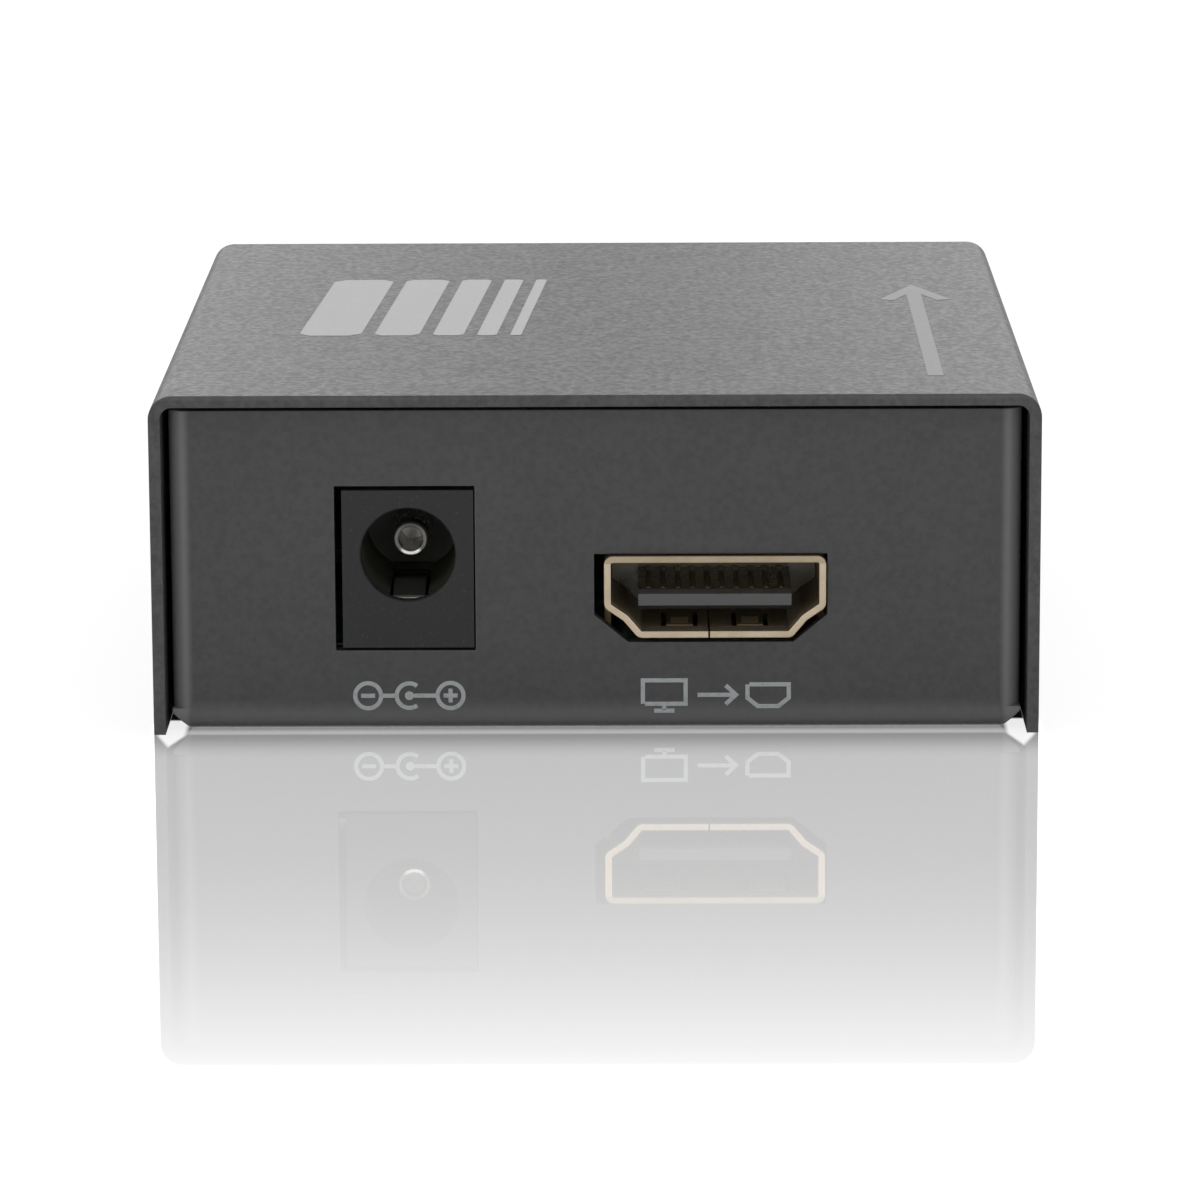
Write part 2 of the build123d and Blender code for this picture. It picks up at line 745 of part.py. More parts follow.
save(dc_jack_housing, "dc_jack_housing")

# DC jack: hollow centre pin with its stem and terminal plate
plate_top = dc_axis + dc_stem_radius * 1.5
with BuildPart() as dc_jack_pin:
    with BuildSketch(facing(-1, panel_face - dc_pin_recess, dc_x, dc_axis)):
        Circle(dc_pin_radius)
    extrude(amount=-dc_bore_depth + dc_pin_recess)
    chamfer(dc_jack_pin.edges().group_by(Axis.Y)[0], length=dc_pin_chamfer)
    with BuildSketch(facing(-1, panel_face - dc_pin_recess, dc_x, dc_axis)):
        Circle(dc_pin_hollow_radius)
    extrude(amount=-dc_pin_hollow_depth, mode=Mode.SUBTRACT)
    with BuildSketch(facing(-1, panel_face - dc_bore_depth, dc_x, dc_axis)):
        Circle(dc_stem_radius)
    extrude(amount=-dc_length + dc_bore_depth)
    with BuildSketch(facing(-1, panel_face - dc_length, dc_x, lead_end)):
        Rectangle(dc_plate_width, plate_top - lead_end, align=(Align.CENTER, Align.MIN))
    extrude(amount=-dc_plate_thick)
save(dc_jack_pin, "dc_jack_pin")

# DC jack: sleeve spring, a bowed leaf with an ear for the switch contact
with BuildPart() as dc_jack_sleeve_spring:
    with BuildSketch(inward(-1, panel_face, dc_x)):
        with BuildLine():
            FilletPolyline(
                (leaf_root, board_top + leaf_root_height),
                (leaf_crest, board_top + leaf_crest_height),
                (leaf_tip, board_top + leaf_tip_height),
                radius=leaf_bend,
            )
        trace(line_width=leaf_thick)
    extrude(amount=leaf_width / 2, both=True)
    with BuildSketch(inward(-1, panel_face, dc_x)):
        with BuildLine():
            Line((ear_end, ear_levels[0]), (ear_start, ear_levels[1]))
        trace(line_width=leaf_thick)
    extrude(amount=ear_reach)
save(dc_jack_sleeve_spring, "dc_jack_sleeve_spring")

# DC jack: fixed terminal behind the root of the leaf
with BuildPart() as dc_jack_sleeve_terminal:
    with BuildSketch(Plane.XY.offset(lead_end)):
        with Locations((dc_x, sleeve_terminal_y)):
            Rectangle(leaf_width, leaf_thick)
    extrude(amount=board_top + leaf_root_height + sleeve_terminal_rise - lead_end)
save(dc_jack_sleeve_terminal, "dc_jack_sleeve_terminal")

# DC jack: switch contact that the ear rests under when no plug is in
with BuildPart() as dc_jack_switch_contact:
    with BuildSketch(Plane.XY.offset(switch_foot)):
        with Locations((dc_x + switch_reach, switch_y)):
            Rectangle(
                dc_arch_radius - switch_reach, switch_width, align=(Align.MIN, Align.CENTER)
            )
    extrude(amount=switch_thick)
    with BuildSketch(Plane.XY.offset(lead_end)):
        with Locations((switch_leg_x, switch_y)):
            Rectangle(switch_thick, switch_width)
    extrude(amount=switch_foot + switch_thick - lead_end)
save(dc_jack_switch_contact, "dc_jack_switch_contact")

# Network jack: shield folded round the moulding, open at the front and below
net_front = facing(1, net_face, net_x, board_top)
net_finger_tip = net_finger_root - net_finger_length
with BuildPart() as network_jack_shield:
    with BuildSketch(net_front):
        Rectangle(net_width, net_height, align=(Align.CENTER, Align.MIN))
    extrude(amount=-net_depth)
    with BuildSketch(net_front):
        Rectangle(
            net_width - 2 * net_sheet, net_height - net_sheet, align=(Align.CENTER, Align.MIN)
        )
    extrude(amount=-net_depth + net_sheet, mode=Mode.SUBTRACT)
    # Fingers in the top, bent out to touch the edge of the panel's cut-out
    for side in (1, -1):
        middle = net_x + side * net_top_finger_x
        with BuildSketch(Plane.XY.offset(board_top + net_height)):
            with Locations((middle, net_face - net_finger_tip + net_finger_slot)):
                Rectangle(
                    net_finger_width + 2 * net_finger_slot,
                    net_finger_length + net_finger_slot,
                    align=(Align.CENTER, Align.MAX),
                )
            with Locations((middle, net_face - net_finger_tip)):
                Rectangle(
                    net_finger_width,
                    net_finger_length,
                    align=(Align.CENTER, Align.MAX),
                    mode=Mode.SUBTRACT,
                )
        extrude(amount=-net_sheet, mode=Mode.SUBTRACT)
        bump_y = net_finger_tip + finger_bump_back
        bump_z = board_top + net_height
        with BuildSketch(inward(1, net_face, middle)):
            Polygon(
                (bump_y - finger_bump_length / 2, bump_z),
                (bump_y, bump_z + finger_bump_height),
                (bump_y + finger_bump_length / 2, bump_z),
                align=None,
            )
        extrude(amount=net_finger_width / 2, both=True)
    # One finger in each side
    for side in (1, -1):
        side_x = net_x + side * net_width / 2
        flank = Plane(origin=(side_x, net_face, board_top), x_dir=(0, -1, 0), z_dir=(-1, 0, 0))
        with BuildSketch(flank):
            with Locations((net_finger_tip - net_finger_slot, net_side_finger_z)):
                Rectangle(
                    net_finger_length + net_finger_slot,
                    net_finger_width + 2 * net_finger_slot,
                    align=(Align.MIN, Align.CENTER),
                )
            with Locations((net_finger_tip, net_side_finger_z)):
                Rectangle(
                    net_finger_length,
                    net_finger_width,
                    align=(Align.MIN, Align.CENTER),
                    mode=Mode.SUBTRACT,
                )
        extrude(amount=side * net_sheet, mode=Mode.SUBTRACT)
        with BuildSketch(Plane.XY.offset(board_top + net_side_finger_z - net_finger_width / 2)):
            with Locations((side_x, net_face - net_finger_tip - finger_bump_back)):
                Polygon(
                    (0, -finger_bump_length / 2),
                    (side * finger_bump_height, 0),
                    (0, finger_bump_length / 2),
                    align=None,
                )
        extrude(amount=net_finger_width)
    # Legs through the board
    with BuildSketch(Plane.XY.offset(lead_end)):
        for place in net_leg_places:
            for side in (1, -1):
                with Locations((net_x + side * (net_width - net_sheet) / 2, net_face - place)):
                    Rectangle(net_sheet, net_leg_width)
    extrude(amount=board_top - lead_end)
save(network_jack_shield, "network_jack_shield")

# Network jack: moulding with its stepped mouth, latch notch up, and a trench for the tails
net_inner_width = net_width - 2 * net_sheet - 2 * seat_gap
net_inner_height = net_height - net_sheet - seat_gap
net_lamp_z = net_height - net_lamp_drop
net_moulding_depth = net_depth - net_sheet - net_back_gap
net_row_half = (net_contact_count - 1) / 2 * net_contact_pitch + net_contact_wire / 2
net_trench_half = net_row_half + net_trench_margin
net_insert_half = net_row_half + net_insert_margin
with BuildPart() as network_jack_housing:
    with BuildSketch(net_front.offset(-net_face_recess)):
        Rectangle(net_inner_width, net_inner_height, align=(Align.CENTER, Align.MIN))
    extrude(amount=-net_moulding_depth + net_face_recess)
    with BuildSketch(net_front.offset(-net_face_recess)):
        with Locations((0, net_floor_height)):
            Rectangle(net_mouth_width, net_mouth_height, align=(Align.CENTER, Align.MIN))
        with Locations((0, net_floor_height + net_mouth_height)):
            Rectangle(net_step_width, net_step_height, align=(Align.CENTER, Align.MIN))
        with Locations((0, net_floor_height + net_mouth_height + net_step_height)):
            Rectangle(net_latch_width, net_latch_height, align=(Align.CENTER, Align.MIN))
    extrude(amount=-net_cavity_depth + net_face_recess, mode=Mode.SUBTRACT)
    # Windows for the two lamps
    with BuildSketch(net_front):
        for side in (1, -1):
            with Locations((side * net_lamp_x, net_lamp_z)):
                Rectangle(net_lamp_width, net_lamp_height)
    extrude(amount=-net_lamp_depth - seat_gap, mode=Mode.SUBTRACT)
    # Slot in the floor where the contacts turn, and the trench below the floor
    with BuildSketch(Plane.XY.offset(board_top)):
        with Locations((net_x, net_face - net_trench_start)):
            Rectangle(
                2 * net_trench_half,
                net_insert_start - net_trench_start,
                align=(Align.CENTER, Align.MAX),
            )
    extrude(amount=net_floor_height - net_floor_plate, mode=Mode.SUBTRACT)
    with BuildSketch(Plane.XY.offset(board_top)):
        with Locations((net_x, net_face - net_trench_start)):
            Rectangle(
                2 * net_trench_half, net_slot_end - net_trench_start, align=(Align.CENTER, Align.MAX)
            )
    extrude(amount=net_floor_height, mode=Mode.SUBTRACT)
    # Pocket at the back for the comb insert
    with BuildSketch(net_front.offset(-net_insert_start)):
        Rectangle(2 * net_insert_half, net_insert_height, align=(Align.CENTER, Align.MIN))
    extrude(amount=-net_depth, mode=Mode.SUBTRACT)
save(network_jack_housing, "network_jack_housing")

# Network jack: comb insert that guides the free ends of the contacts
with BuildPart() as network_jack_comb:
    with BuildSketch(net_front.offset(-net_insert_start)):
        Rectangle(
            2 * net_insert_half - 2 * seat_gap,
            net_insert_height - seat_gap,
            align=(Align.CENTER, Align.MIN),
        )
    extrude(amount=-net_moulding_depth + net_insert_start)
    with BuildSketch(net_front.offset(-net_insert_start)):
        with Locations((0, net_floor_height)):
            with GridLocations(net_contact_pitch, 0, net_contact_count, 1):
                Rectangle(net_comb_slot, net_comb_top, align=(Align.CENTER, Align.MIN))
    extrude(amount=-net_comb_depth, mode=Mode.SUBTRACT)
save(network_jack_comb, "network_jack_comb")

# Network jack: sprung lengths of the contacts, rising from the mouth to the comb
with BuildPart() as network_jack_springs:
    for x in row(net_contact_count, net_contact_pitch):
        with BuildSketch(inward(1, net_face, net_x + x)):
            with BuildLine():
                FilletPolyline(
                    (net_contact_root, net_floor + net_contact_rise),
                    (net_contact_knee, net_floor + net_contact_knee_rise),
                    (net_contact_tip, net_floor + net_contact_tip_rise),
                    radius=net_contact_bend,
                )
            trace(line_width=net_contact_wire)
        extrude(amount=net_contact_wire / 2, both=True)
save(network_jack_springs, "network_jack_springs")

# Network jack: fixed lengths of the contacts, under the floor and down through the board
net_tail_top = net_floor + net_contact_rise + net_contact_wire / 2
net_tail_run = net_floor - net_tail_drop
net_tail_start = net_contact_root - terminal_gap - net_contact_wire / 2
with BuildPart() as network_jack_tails:
    for i, x in enumerate(row(net_contact_count, net_contact_pitch)):
        with BuildSketch(inward(1, net_face, net_x + x)):
            with BuildLine():
                Polyline(
                    (net_tail_start, net_tail_top),
                    (net_tail_start, net_tail_run),
                    (net_tail_rows[i % 2], net_tail_run),
                    (net_tail_rows[i % 2], lead_end),
                )
            trace(line_width=net_contact_wire)
        extrude(amount=net_contact_wire / 2, both=True)
save(network_jack_tails, "network_jack_tails")

# Network jack: a clear lamp in each upper corner
for name, side in (("link_lamp", 1), ("activity_lamp", -1)):
    with BuildPart() as net_lamp:
        with BuildSketch(net_front.offset(-net_face_recess)):
            with Locations((side * net_lamp_x, net_lamp_z)):
                Rectangle(net_lamp_width - 2 * seat_gap, net_lamp_height - 2 * seat_gap)
        extrude(amount=-net_lamp_depth + net_face_recess)
    save(net_lamp, name)

# Status lamp: lens with its flange behind the rear panel
lamp_tip = panel_face + lamp_proud
lamp_flange_y = lamp_tip - lamp_length
with BuildPart() as status_lamp:
    with BuildSketch(facing(1, lamp_flange_y, lamp_x, lamp_z)):
        Circle(lamp_radius)
    extrude(amount=lamp_length)
    chamfer(status_lamp.edges().group_by(Axis.Y)[-1], length=lamp_chamfer)
    with BuildSketch(facing(1, lamp_flange_y, lamp_x, lamp_z)):
        Circle(lamp_flange_radius)
    extrude(amount=-lamp_flange_thick)
save(status_lamp, "status_lamp")

with BuildPart() as status_lamp_leads:
    for x in row(2, lamp_lead_pitch):
        with BuildSketch(inward(1, panel_face, lamp_x + x)):
            with BuildLine():
                Polyline(
                    (lamp_bend - lamp_lead_reach, lamp_z),
                    (lamp_bend, lamp_z),
                    (lamp_bend, lead_end),
                )
            trace(line_width=lamp_lead)
        extrude(amount=lamp_lead / 2, both=True)
save(status_lamp_leads, "status_lamp_leads")

# Main chip, its leads, thermal pad and heat sink
chip_x, chip_y = on_board(chip_place_share)
chip_foot = board_top + chip_stand
chip_top = chip_foot + chip_height
with BuildPart() as main_chip:
    with BuildSketch(Plane.XY.offset(chip_foot)):
        with Locations((chip_x, chip_y)):
            Rectangle(chip_side, chip_side)
    extrude(amount=chip_height)
    chamfer(main_chip.edges().filter_by(Axis.Z), length=chip_chamfer)
save(main_chip, "main_chip")

lead_middle = (chip_side + chip_lead_reach) / 2
with BuildPart() as main_chip_leads:
    with BuildSketch(Plane.XY.offset(board_top)):
        for side in (1, -1):
            with Locations((chip_x + side * lead_middle, chip_y)):
                with GridLocations(0, chip_lead_pitch, 1, chip_lead_count):
                    Rectangle(chip_lead_reach, chip_lead_width)
            with Locations((chip_x, chip_y + side * lead_middle)):
                with GridLocations(chip_lead_pitch, 0, chip_lead_count, 1):
                    Rectangle(chip_lead_width, chip_lead_reach)
    extrude(amount=chip_lead_thick)
save(main_chip_leads, "main_chip_leads")

with BuildPart() as thermal_pad:
    with BuildSketch(Plane.XY.offset(chip_top)):
        with Locations((chip_x, chip_y)):
            Rectangle(pad_side, pad_side)
    extrude(amount=pad_height)
save(thermal_pad, "thermal_pad")

fin_pitch = (sink_side - sink_fin_thick) / (sink_fin_count - 1)
with BuildPart() as heat_sink:
    with BuildSketch(Plane.XY.offset(chip_top + pad_height)):
        with Locations((chip_x, chip_y)):
            Rectangle(sink_side, sink_side)
    extrude(amount=sink_base)
    with BuildSketch(Plane.XY.offset(chip_top + pad_height + sink_base)):
        with Locations((chip_x, chip_y)):
            with GridLocations(fin_pitch, 0, sink_fin_count, 1):
                Rectangle(sink_fin_thick, sink_side)
    extrude(amount=sink_fin_height)
save(heat_sink, "heat_sink")

# Voltage regulator with its tab and three legs
regulator_x, regulator_y = on_board(regulator_place_share)
with BuildPart() as voltage_regulator:
    with BuildSketch(Plane.XY.offset(board_top)):
        with Locations((regulator_x, regulator_y)):
            Rectangle(regulator_length, regulator_width)
    extrude(amount=regulator_height)
    with BuildSketch(Plane.XY.offset(board_top)):
        with Locations((regulator_x, regulator_y + regulator_width / 2)):
            Rectangle(regulator_tab_width, regulator_tab_reach, align=(Align.CENTER, Align.MIN))
        with Locations((regulator_x, regulator_y - (regulator_width + regulator_tab_reach) / 2)):
            with GridLocations(regulator_leg_pitch, 0, 3, 1):
                Rectangle(regulator_leg_width, regulator_tab_reach)
    extrude(amount=regulator_tab_thick)
save(voltage_regulator, "voltage_regulator")

# Power inductor: square ferrite block with cut corners
inductor_x, inductor_y = on_board(inductor_place_share)
with BuildPart() as power_inductor:
    with BuildSketch(Plane.XY.offset(board_top)):
        with Locations((inductor_x, inductor_y)):
            Rectangle(inductor_side, inductor_side)
    extrude(amount=inductor_height)
    chamfer(power_inductor.edges().filter_by(Axis.Z), length=inductor_corner)
save(power_inductor, "power_inductor")

# Two electrolytic capacitors on square bases
can_x, can_y = on_board(can_place_share)
with BuildPart() as electrolytic_capacitors:
    with BuildSketch(Plane.XY.offset(board_top + can_base_height)):
        for y in row(2, can_pitch):
            with Locations((can_x, can_y + y)):
                Circle(can_radius)
    extrude(amount=can_height - can_base_height)
    chamfer(electrolytic_capacitors.edges().group_by(Axis.Z)[-1], length=can_chamfer)
    with BuildSketch(Plane.XY.offset(board_top)):
        for y in row(2, can_pitch):
            with Locations((can_x, can_y + y)):
                Rectangle(can_base_side, can_base_side)
    extrude(amount=can_base_height)
save(electrolytic_capacitors, "electrolytic_capacitors")

# Chip capacitors in a column on either side of the main chip
ceramic_reach = chip_side / 2 + chip_lead_reach + ceramic_gap + ceramic_size[0] / 2
with BuildPart() as ceramic_capacitors:
    with BuildSketch(Plane.XY.offset(board_top)):
        with Locations((chip_x, chip_y)):
            with GridLocations(2 * ceramic_reach, ceramic_pitch, 2, ceramic_count):
                Rectangle(ceramic_size[0], ceramic_size[1])
    extrude(amount=ceramic_size[2])
save(ceramic_capacitors, "ceramic_capacitors")

with BuildPart() as chip_resistors:
    with BuildSketch(Plane.XY.offset(board_top)):
        with Locations(on_board(resistor_place_share)):
            with GridLocations(resistor_pitch_x, resistor_pitch_y, 2, resistor_rows):
                Rectangle(resistor_size[0], resistor_size[1])
    extrude(amount=resistor_size[2])
save(chip_resistors, "chip_resistors")

# Crystal in its oval can
memory_x = chip_x + ceramic_reach + (ceramic_size[0] + memory_length) / 2 + memory_gap
crystal_y = crystal_depth_share * board_half_depth
with BuildPart() as crystal_can:
    with BuildSketch(Plane.XY.offset(board_top)):
        with Locations((memory_x, crystal_y)):
            SlotOverall(crystal_length, crystal_width, rotation=90)
    extrude(amount=crystal_rim_height)
    with BuildSketch(Plane.XY.offset(board_top + crystal_rim_height)):
        with Locations((memory_x, crystal_y)):
            SlotOverall(
                crystal_length - 2 * crystal_rim, crystal_width - 2 * crystal_rim, rotation=90
            )
    extrude(amount=crystal_height - crystal_rim_height)
save(crystal_can, "crystal_can")

# Memory chip with two rows of leads
memory_y = memory_depth_share * board_half_depth
with BuildPart() as memory_chip:
    with BuildSketch(Plane.XY.offset(board_top)):
        with Locations((memory_x, memory_y)):
            Rectangle(memory_length, memory_width)
    extrude(amount=memory_height)
    with BuildSketch(Plane.XY.offset(board_top)):
        with Locations((memory_x, memory_y)):
            with GridLocations(memory_lead_pitch, 0, memory_leads, 1):
                Rectangle(chip_lead_width, memory_width + 2 * chip_lead_reach)
    extrude(amount=chip_lead_thick)
save(memory_chip, "memory_chip")

# Surge arrays behind the video socket, and chokes in front of the network jack
video_tail_end = video_length + video_upper_drop + video_contact_foot
surge_y = -video_face + video_tail_end + surge_gap + surge_size[1] / 2
choke_y = net_face - net_depth - choke_gap - choke_size[1] / 2
with BuildPart() as surge_arrays:
    with BuildSketch(Plane.XY.offset(board_top)):
        with Locations((video_x, surge_y)):
            with GridLocations(surge_pitch, 0, 2, 1):
                Rectangle(surge_size[0], surge_size[1])
    extrude(amount=surge_size[2])
save(surge_arrays, "surge_arrays")

with BuildPart() as line_chokes:
    with BuildSketch(Plane.XY.offset(board_top)):
        with Locations((net_x, choke_y)):
            with GridLocations(choke_pitch, 0, choke_count, 1):
                Rectangle(choke_size[0], choke_size[1])
                Rectangle(choke_size[0] / 2, choke_size[1], mode=Mode.SUBTRACT)
                Rectangle(choke_size[0], choke_size[1] - 2 * choke_waist)
    extrude(amount=choke_size[2])
save(line_chokes, "line_chokes")
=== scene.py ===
"""Looks of a small sheet steel sending box with a DC inlet and a gold plated video socket.

It sets up the camera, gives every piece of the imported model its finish, prints plain marks on the panel and the cover,
and adds a white studio floor, a background and soft light. Lengths are in metres."""

import json
import math

import bpy
import numpy as np
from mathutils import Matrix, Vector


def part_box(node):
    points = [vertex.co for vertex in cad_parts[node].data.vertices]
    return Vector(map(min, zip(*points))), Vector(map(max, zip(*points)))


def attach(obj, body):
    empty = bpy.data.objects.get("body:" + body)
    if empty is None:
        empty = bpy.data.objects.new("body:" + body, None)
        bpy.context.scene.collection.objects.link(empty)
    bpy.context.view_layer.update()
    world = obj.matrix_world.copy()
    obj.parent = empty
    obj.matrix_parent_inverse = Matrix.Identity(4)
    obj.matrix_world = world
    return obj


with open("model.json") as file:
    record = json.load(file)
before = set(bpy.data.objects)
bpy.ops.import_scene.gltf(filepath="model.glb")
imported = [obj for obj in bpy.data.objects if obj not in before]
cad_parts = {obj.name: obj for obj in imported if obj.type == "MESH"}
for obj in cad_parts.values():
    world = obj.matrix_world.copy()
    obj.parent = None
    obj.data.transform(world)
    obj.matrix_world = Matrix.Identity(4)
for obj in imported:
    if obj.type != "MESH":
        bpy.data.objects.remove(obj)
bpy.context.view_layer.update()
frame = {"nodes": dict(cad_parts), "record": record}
pieces = frame["nodes"]
scene = bpy.context.scene
MM = 0.001

# ------------------------------------------------------------------ camera

camera_data = bpy.data.cameras.new("camera")
camera_data.sensor_width = 36
camera_data.lens = 171.74
camera_data.shift_x = 0.0005
camera_data.shift_y = -0.12
camera_data.clip_start = 0.02
camera_data.clip_end = 40
camera = bpy.data.objects.new("camera", camera_data)
camera.location = (3.06 * MM, -407.58 * MM, 96.52 * MM)
camera.rotation_euler = (math.radians(78.402), math.radians(0.26), math.radians(0.365))
scene.collection.objects.link(camera)
scene.camera = camera
scene.view_settings.view_transform = "Standard"


# ------------------------------------------------------------------ node trees


class Tree:
    """A node tree that is filled with short calls: most add one node and give back its first output."""

    def __init__(self, tree):
        self.tree = tree

    def feed(self, socket, value):
        """Links an output to the socket, or sets the socket to a plain value."""
        if isinstance(value, bpy.types.NodeSocket):
            self.tree.links.new(value, socket)
        else:
            socket.default_value = value

    def node(self, kind, links=None, **settings):
        """One node with its settings, and its sockets fed by name or number. Gives back the node."""
        made = self.tree.nodes.new(kind)
        for key, value in settings.items():
            setattr(made, key, value)
        for key, value in (links or {}).items():
            self.feed(made.inputs[key], value)
        return made

    def math(self, operation, a, b=0.0, c=0.0, clamp=False):
        made = self.node("ShaderNodeMath", {0: a, 1: b, 2: c}, operation=operation, use_clamp=clamp)
        return made.outputs[0]

    def vector(self, operation, a, b=(0.0, 0.0, 0.0), out=0):
        made = self.node("ShaderNodeVectorMath", {0: a, 1: b}, operation=operation)
        return made.outputs[out]

    def axes(self, vector):
        """The x, y and z of a vector."""
        return self.node("ShaderNodeSeparateXYZ", {0: vector}).outputs

    def stretch(self, vector, scale):
        return self.node("ShaderNodeMapping", {"Vector": vector, "Scale": scale}).outputs[0]

    def noise(self, vector, scale, detail=2.0, roughness=0.5):
        links = {"Vector": vector, "Scale": scale, "Detail": detail, "Roughness": roughness}
        return self.node("ShaderNodeTexNoise", links).outputs["Fac"]

    def cells(self, vector, scale, feature="F1", smooth=None, **settings):
        links = {"Vector": vector, "Scale": scale}
        if smooth is not None:
            links["Smoothness"] = smooth
        return self.node("ShaderNodeTexVoronoi", links, feature=feature, **settings).outputs["Distance"]

    def spread(self, value, low, high, to_low=0.0, to_high=1.0, kind="SMOOTHSTEP"):
        """Carries a value between low and high to one between to_low and to_high, and holds it at both ends."""
        links = {"Value": value, "From Min": low, "From Max": high, "To Min": to_low, "To Max": to_high}
        made = self.node("ShaderNodeMapRange", links, interpolation_type=kind, clamp=True)
        return made.outputs[0]

    def mix(self, factor, a, b, blend="MIX"):
        """Colour b over colour a; sockets 0, 6 and 7 are the factor and the two colours of a colour mix."""
        made = self.node("ShaderNodeMix", data_type="RGBA", blend_type=blend, clamp_factor=True)
        for number, value in ((0, factor), (6, a), (7, b)):
            self.feed(made.inputs[number], value)
        return made.outputs[2]

    def group(self, which, **links):
        """One group node with its inputs fed by name. Gives back all its outputs."""
        made = self.node("ShaderNodeGroup")
        made.node_tree = which
        for key, value in links.items():
            self.feed(made.inputs[key], value)
        return made.outputs


def new_group(name, inputs, outputs):
    """An empty shader node group: inputs are (name, socket kind, value), outputs are (name, socket kind)."""
    made = bpy.data.node_groups.new(name, "ShaderNodeTree")
    for label, kind, value in inputs:
        socket = made.interface.new_socket(label, in_out="INPUT", socket_type=kind)
        if value is not None:
            socket.default_value = value
    for label, kind in outputs:
        made.interface.new_socket(label, in_out="OUTPUT", socket_type=kind)
    tree = Tree(made)
    source = made.nodes.new("NodeGroupInput").outputs
    target = made.nodes.new("NodeGroupOutput").inputs
    return made, tree, source, target


def shade(r, g, b):
    return (r, g, b, 1.0)


def grey(value):
    return shade(value, value, value)


VECTOR = "NodeSocketVector"
FLOAT = "NodeSocketFloat"


def edge_rub_group():
    """Edge rub: how far a point lies from a sharp edge, told by how a rounded normal leaves the true one."""
    made, tree, source, target = new_group(
        "edge_rub",
        [("Vector", VECTOR, None), ("Radius", FLOAT, 0.0002), ("Breakup", FLOAT, 0.5)],
        [("Mask", FLOAT), ("Normal", VECTOR)],
    )
    rounded = tree.node("ShaderNodeBevel", {"Radius": source["Radius"]}, samples=6).outputs[0]
    true_normal = tree.node("ShaderNodeNewGeometry").outputs["True Normal"]
    turn = tree.math("SUBTRACT", 1.0, tree.vector("DOT_PRODUCT", rounded, true_normal, out="Value"))
    patches = tree.spread(tree.noise(source["Vector"], 900.0, 4.0, 0.6), 0.35, 0.62)
    kept = tree.math("SUBTRACT", 1.0, tree.math("MULTIPLY", patches, source["Breakup"]))
    tree.feed(target["Mask"], tree.math("MULTIPLY", tree.spread(turn, 0.015, 0.16), kept))
    tree.feed(target["Normal"], rounded)
    return made


def powder_skin_group():
    """Powder texture: baked powder paint, a fine pebbled skin over broad soft clouds."""
    made, tree, source, target = new_group(
        "powder_skin",
        [("Vector", VECTOR, None), ("Scale", FLOAT, 2600.0)],
        [("Height", FLOAT), ("Pebble", FLOAT), ("Cloud", FLOAT)],
    )
    pebble = tree.noise(source["Vector"], source["Scale"], 3.0, 0.62)
    fine = tree.noise(source["Vector"], tree.math("MULTIPLY", source["Scale"], 2.7), 2.0, 0.5)
    lumps = tree.cells(source["Vector"], tree.math("MULTIPLY", source["Scale"], 0.62), "SMOOTH_F1", smooth=0.6)
    height = tree.math("ADD", tree.math("MULTIPLY", pebble, 0.7), tree.math("MULTIPLY", fine, 0.12))
    height = tree.math("SUBTRACT", height, tree.math("MULTIPLY", lumps, 0.3))
    cloud = tree.noise(source["Vector"], 170.0, 5.0, 0.72)
    tree.feed(target["Height"], height)
    tree.feed(target["Pebble"], tree.spread(pebble, 0.3, 0.7))
    tree.feed(target["Cloud"], tree.spread(cloud, 0.3, 0.7))
    return made


def drawn_lines_group():
    """Drawn lines: the long fine marks that rolling, drawing or brushing leave in metal, and patches of tarnish."""
    made, tree, source, target = new_group(
        "drawn_lines",
        [("Vector", VECTOR, None), ("Stretch", VECTOR, (1.0, 1.0, 1.0))],
        [("Height", FLOAT), ("Line", FLOAT), ("Tarnish", FLOAT)],
    )
    along = tree.vector("MULTIPLY", source["Vector"], source["Stretch"])
    streak = tree.noise(along, 1.0, 5.0, 0.7)
    tarnish = tree.noise(source["Vector"], 420.0, 5.0, 0.6)
    tree.feed(target["Height"], streak)
    tree.feed(target["Line"], tree.spread(streak, 0.35, 0.65))
    tree.feed(target["Tarnish"], tree.spread(tarnish, 0.38, 0.68))
    return made


def mould_speckle_group():
    """Moulded speckle: glass fibres and flow marks in a moulded plastic."""
    made, tree, source, target = new_group(
        "mould_speckle",
        [("Vector", VECTOR, None), ("Scale", FLOAT, 5200.0)],
        [("Height", FLOAT), ("Fibre", FLOAT), ("Flow", FLOAT)],
    )
    grain = tree.noise(source["Vector"], source["Scale"], 3.0, 0.6)
    fibre = tree.noise(tree.stretch(source["Vector"], (1.0, 0.22, 1.0)), source["Scale"], 2.0, 0.5)
    flow = tree.noise(source["Vector"], 260.0, 3.0, 0.5)
    tree.feed(target["Height"], grain)
    tree.feed(target["Fibre"], tree.spread(fibre, 0.62, 0.74))
    tree.feed(target["Flow"], tree.spread(flow, 0.3, 0.7))
    return made


def settled_dust_group():
    """Settled dust: pale specks that lie on faces which look up."""
    made, tree, source, target = new_group(
        "settled_dust",
        [("Vector", VECTOR, None), ("Amount", FLOAT, 0.3)],
        [("Mask", FLOAT)],
    )
    facing = tree.spread(tree.axes(tree.node("ShaderNodeNewGeometry").outputs["True Normal"])[2], 0.3, 0.9)
    specks = tree.spread(tree.cells(source["Vector"], 900.0), 0.16, 0.04)
    chosen = tree.spread(tree.noise(source["Vector"], 500.0, 2.0), 0.5, 0.66)
    dust = tree.math("MULTIPLY", tree.math("MULTIPLY", specks, chosen), facing)
    tree.feed(target["Mask"], tree.math("MULTIPLY", dust, source["Amount"]))
    return made


